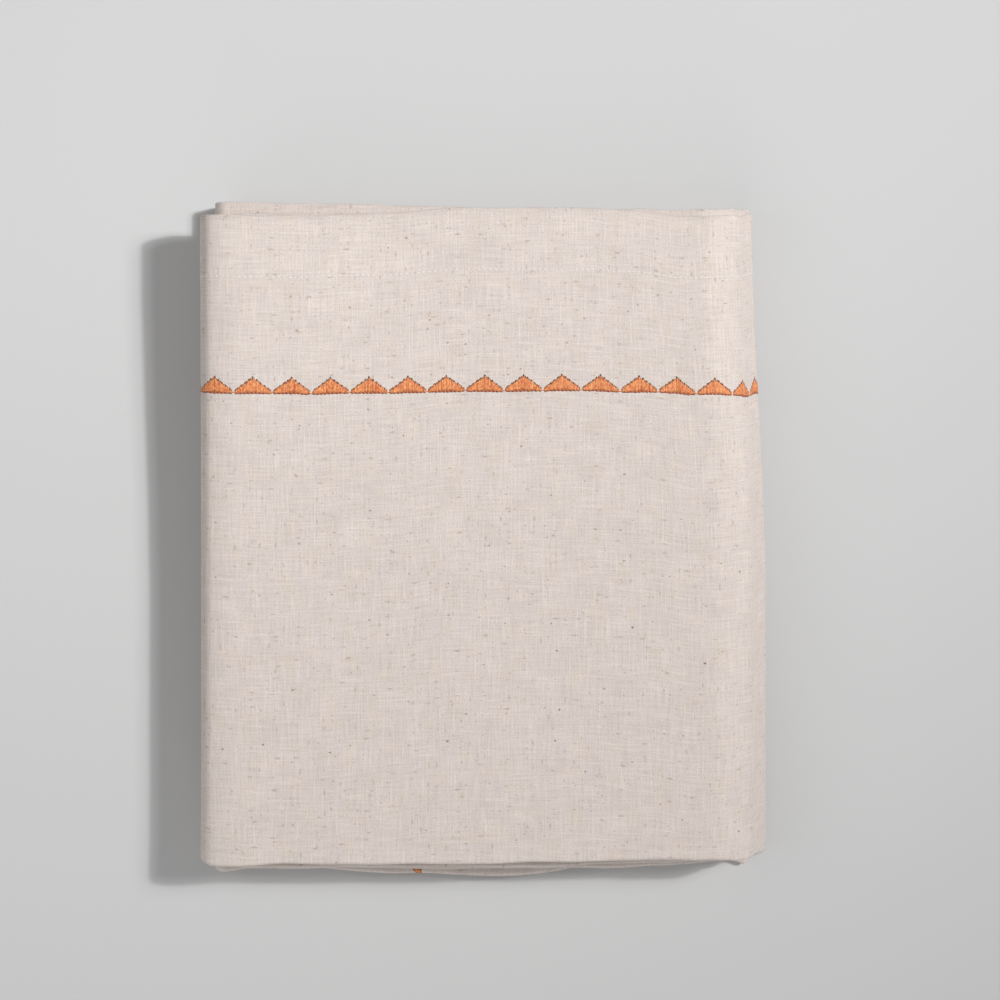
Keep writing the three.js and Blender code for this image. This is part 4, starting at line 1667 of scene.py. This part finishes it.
@dataclass(frozen=True)
class Embroidery:
    """All thread on the cloth: the border's triangles and base line, and the hem seam."""

    border: Border = Border()
    seam: HemSeam = HemSeam()
    satin_form: StitchForm = StitchForm(sides=6, rings=6, end_fullness=1.6)
    small_form: StitchForm = StitchForm(sides=5, rings=4, end_fullness=1.15)

    def build(self, cloth: FoldedCloth, strands: bpy.types.NodeTree) -> list[bpy.types.Object]:
        """Sews everything on the cloth.

        Args:
            cloth: the cloth.
            strands: the strand group.

        Returns:
            The pieces: the four rows of triangles, the painted shade of their needle holes, the base line
                and the seam.
        """
        finishes = (ORANGE_THREAD, HOLE_SHADE_THREAD, BASE_THREAD, SEAM_THREAD)
        orange, hole_shade, rust, pale = (finish.material(strands) for finish in finishes)
        satin, small = self.satin_form.model(), self.small_form.model()
        pieces = []
        for edge in Edge:
            row = self.border.triangles(cloth, edge).laid(f"triangle_row_{edge.name.lower()}", satin, cloth)
            self.dress(row, orange)
            pieces.append(row)
        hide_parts("embroidered_border")
        for name, sewing, finish in (("needle_hole_shade_dots", self.border.holes, hole_shade),
                                     ("base_line", self.border.base_line, rust),
                                     ("hem_seam", self.seam.along, pale)):
            piece = self.joined([sewing(cloth, edge).laid(name, small, cloth) for edge in Edge])
            self.dress(piece, finish)
            pieces.append(piece)
        return pieces

    @staticmethod
    def joined(parts: list[bpy.types.Object]) -> bpy.types.Object:
        """Joins pieces to one mesh.

        Args:
            parts: the pieces.

        Returns:
            The first of them, which holds them all and keeps its name.
        """
        deselect()
        for part in parts:
            part.select_set(True)
        bpy.context.view_layer.objects.active = parts[0]
        bpy.ops.object.join()
        return parts[0]

    @staticmethod
    def dress(piece: bpy.types.Object, finish: bpy.types.Material) -> None:
        """Gives a piece its material, and lets it ride with the cloth.

        Args:
            piece: the piece.
            finish: its material.
        """
        piece.data.materials.append(finish)
        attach(piece, BODY)
        log.info("%s: %d triangles", piece.name, len(piece.data.polygons))


@dataclass(frozen=True)
class Lamp:
    """A square light that faces a point. Its place and size are in metres, its spread is in degrees."""

    name: str
    place: tuple[float, float, float]
    size: float
    power: float
    faces: tuple[float, float, float] = (0.0, 0.0, 0.0)
    spread: float = 180.0

    def build(self) -> None:
        """Adds the light."""
        bpy.ops.object.light_add(type="AREA", location=self.place)
        light = bpy.context.active_object
        light.name = self.name
        light.data.size = self.size
        light.data.energy = self.power
        light.data.spread = math.radians(self.spread)
        light.rotation_euler = (Vector(self.faces) - Vector(self.place)).to_track_quat("-Z", "Y").to_euler()


LAMPS = (
    Lamp("key", (1.58, 0.62, 2.0), 0.1, 2.9, (-0.3, 0.15, 0.0), 60.0),
    Lamp("key_spread", (1.6, 0.66, 2.0), 0.55, 5.11, (-0.3, 0.4, 0.0), 60.0),
    Lamp("left", (-1.3, 0.0, 1.2), 1.0, 4.35),
    Lamp("front_left", (-1.0, -1.0, 0.8), 0.8, 2.07),
    Lamp("front_low", (0.0, -1.5, 0.45), 0.8, 3.76),
)


@dataclass(frozen=True)
class Studio:
    """The plain pale floor, the lights and the camera, which looks straight down. Lengths are metres."""

    floor_colour: Colour = (0.57, 0.57, 0.57)
    floor_roughness: float = 0.85
    floor_specular: float = 0.2
    floor_size: float = 4.0
    camera_place: tuple[float, float, float] = (0.00815, 0.02235, 1.2365)
    camera_angle: float = 25.57
    lamps: tuple[Lamp, ...] = LAMPS
    surround: float = 0.286

    def build(self) -> None:
        """Sets up everything round the bundle."""
        deselect()
        bpy.ops.mesh.primitive_plane_add(size=self.floor_size, location=(0.0, 0.0, 0.0))
        floor = bpy.context.active_object
        floor.name = "floor"
        material, nodes, shader = new_material("floor", self.floor_roughness, self.floor_specular)
        nodes.feed(shader, {"Base Color": (*self.floor_colour, 1.0)})
        floor.data.materials.append(material)
        for lamp in self.lamps:
            lamp.build()
        world = bpy.data.worlds.new("surround")
        world.use_nodes = True
        background = world.node_tree.nodes["Background"]
        Nodes(world.node_tree).feed(background, {"Color": (1.0, 1.0, 1.0, 1.0), "Strength": self.surround})
        bpy.context.scene.world = world
        bpy.context.scene.view_settings.view_transform = "Standard"
        self.camera()

    def camera(self) -> None:
        """A camera above the bundle, with the top of the picture towards the back."""
        bpy.ops.object.camera_add(location=self.camera_place, rotation=(0.0, 0.0, 0.0))
        camera = bpy.context.active_object
        camera.data.angle = math.radians(self.camera_angle)
        bpy.context.scene.camera = camera


def main() -> None:
    """Builds and dresses the whole scene."""
    logging.basicConfig(level=logging.INFO, format="%(name)s: %(message)s")
    weave, strands = WeaveGroup().build(), StrandGroup().build()
    cloth = FoldedCloth()
    piece = cloth.build()
    cloth.dress(piece, LinenFinish().material(weave))
    sewn = Embroidery().build(cloth, strands)
    Studio().build()


if __name__ == "__main__":
    main()
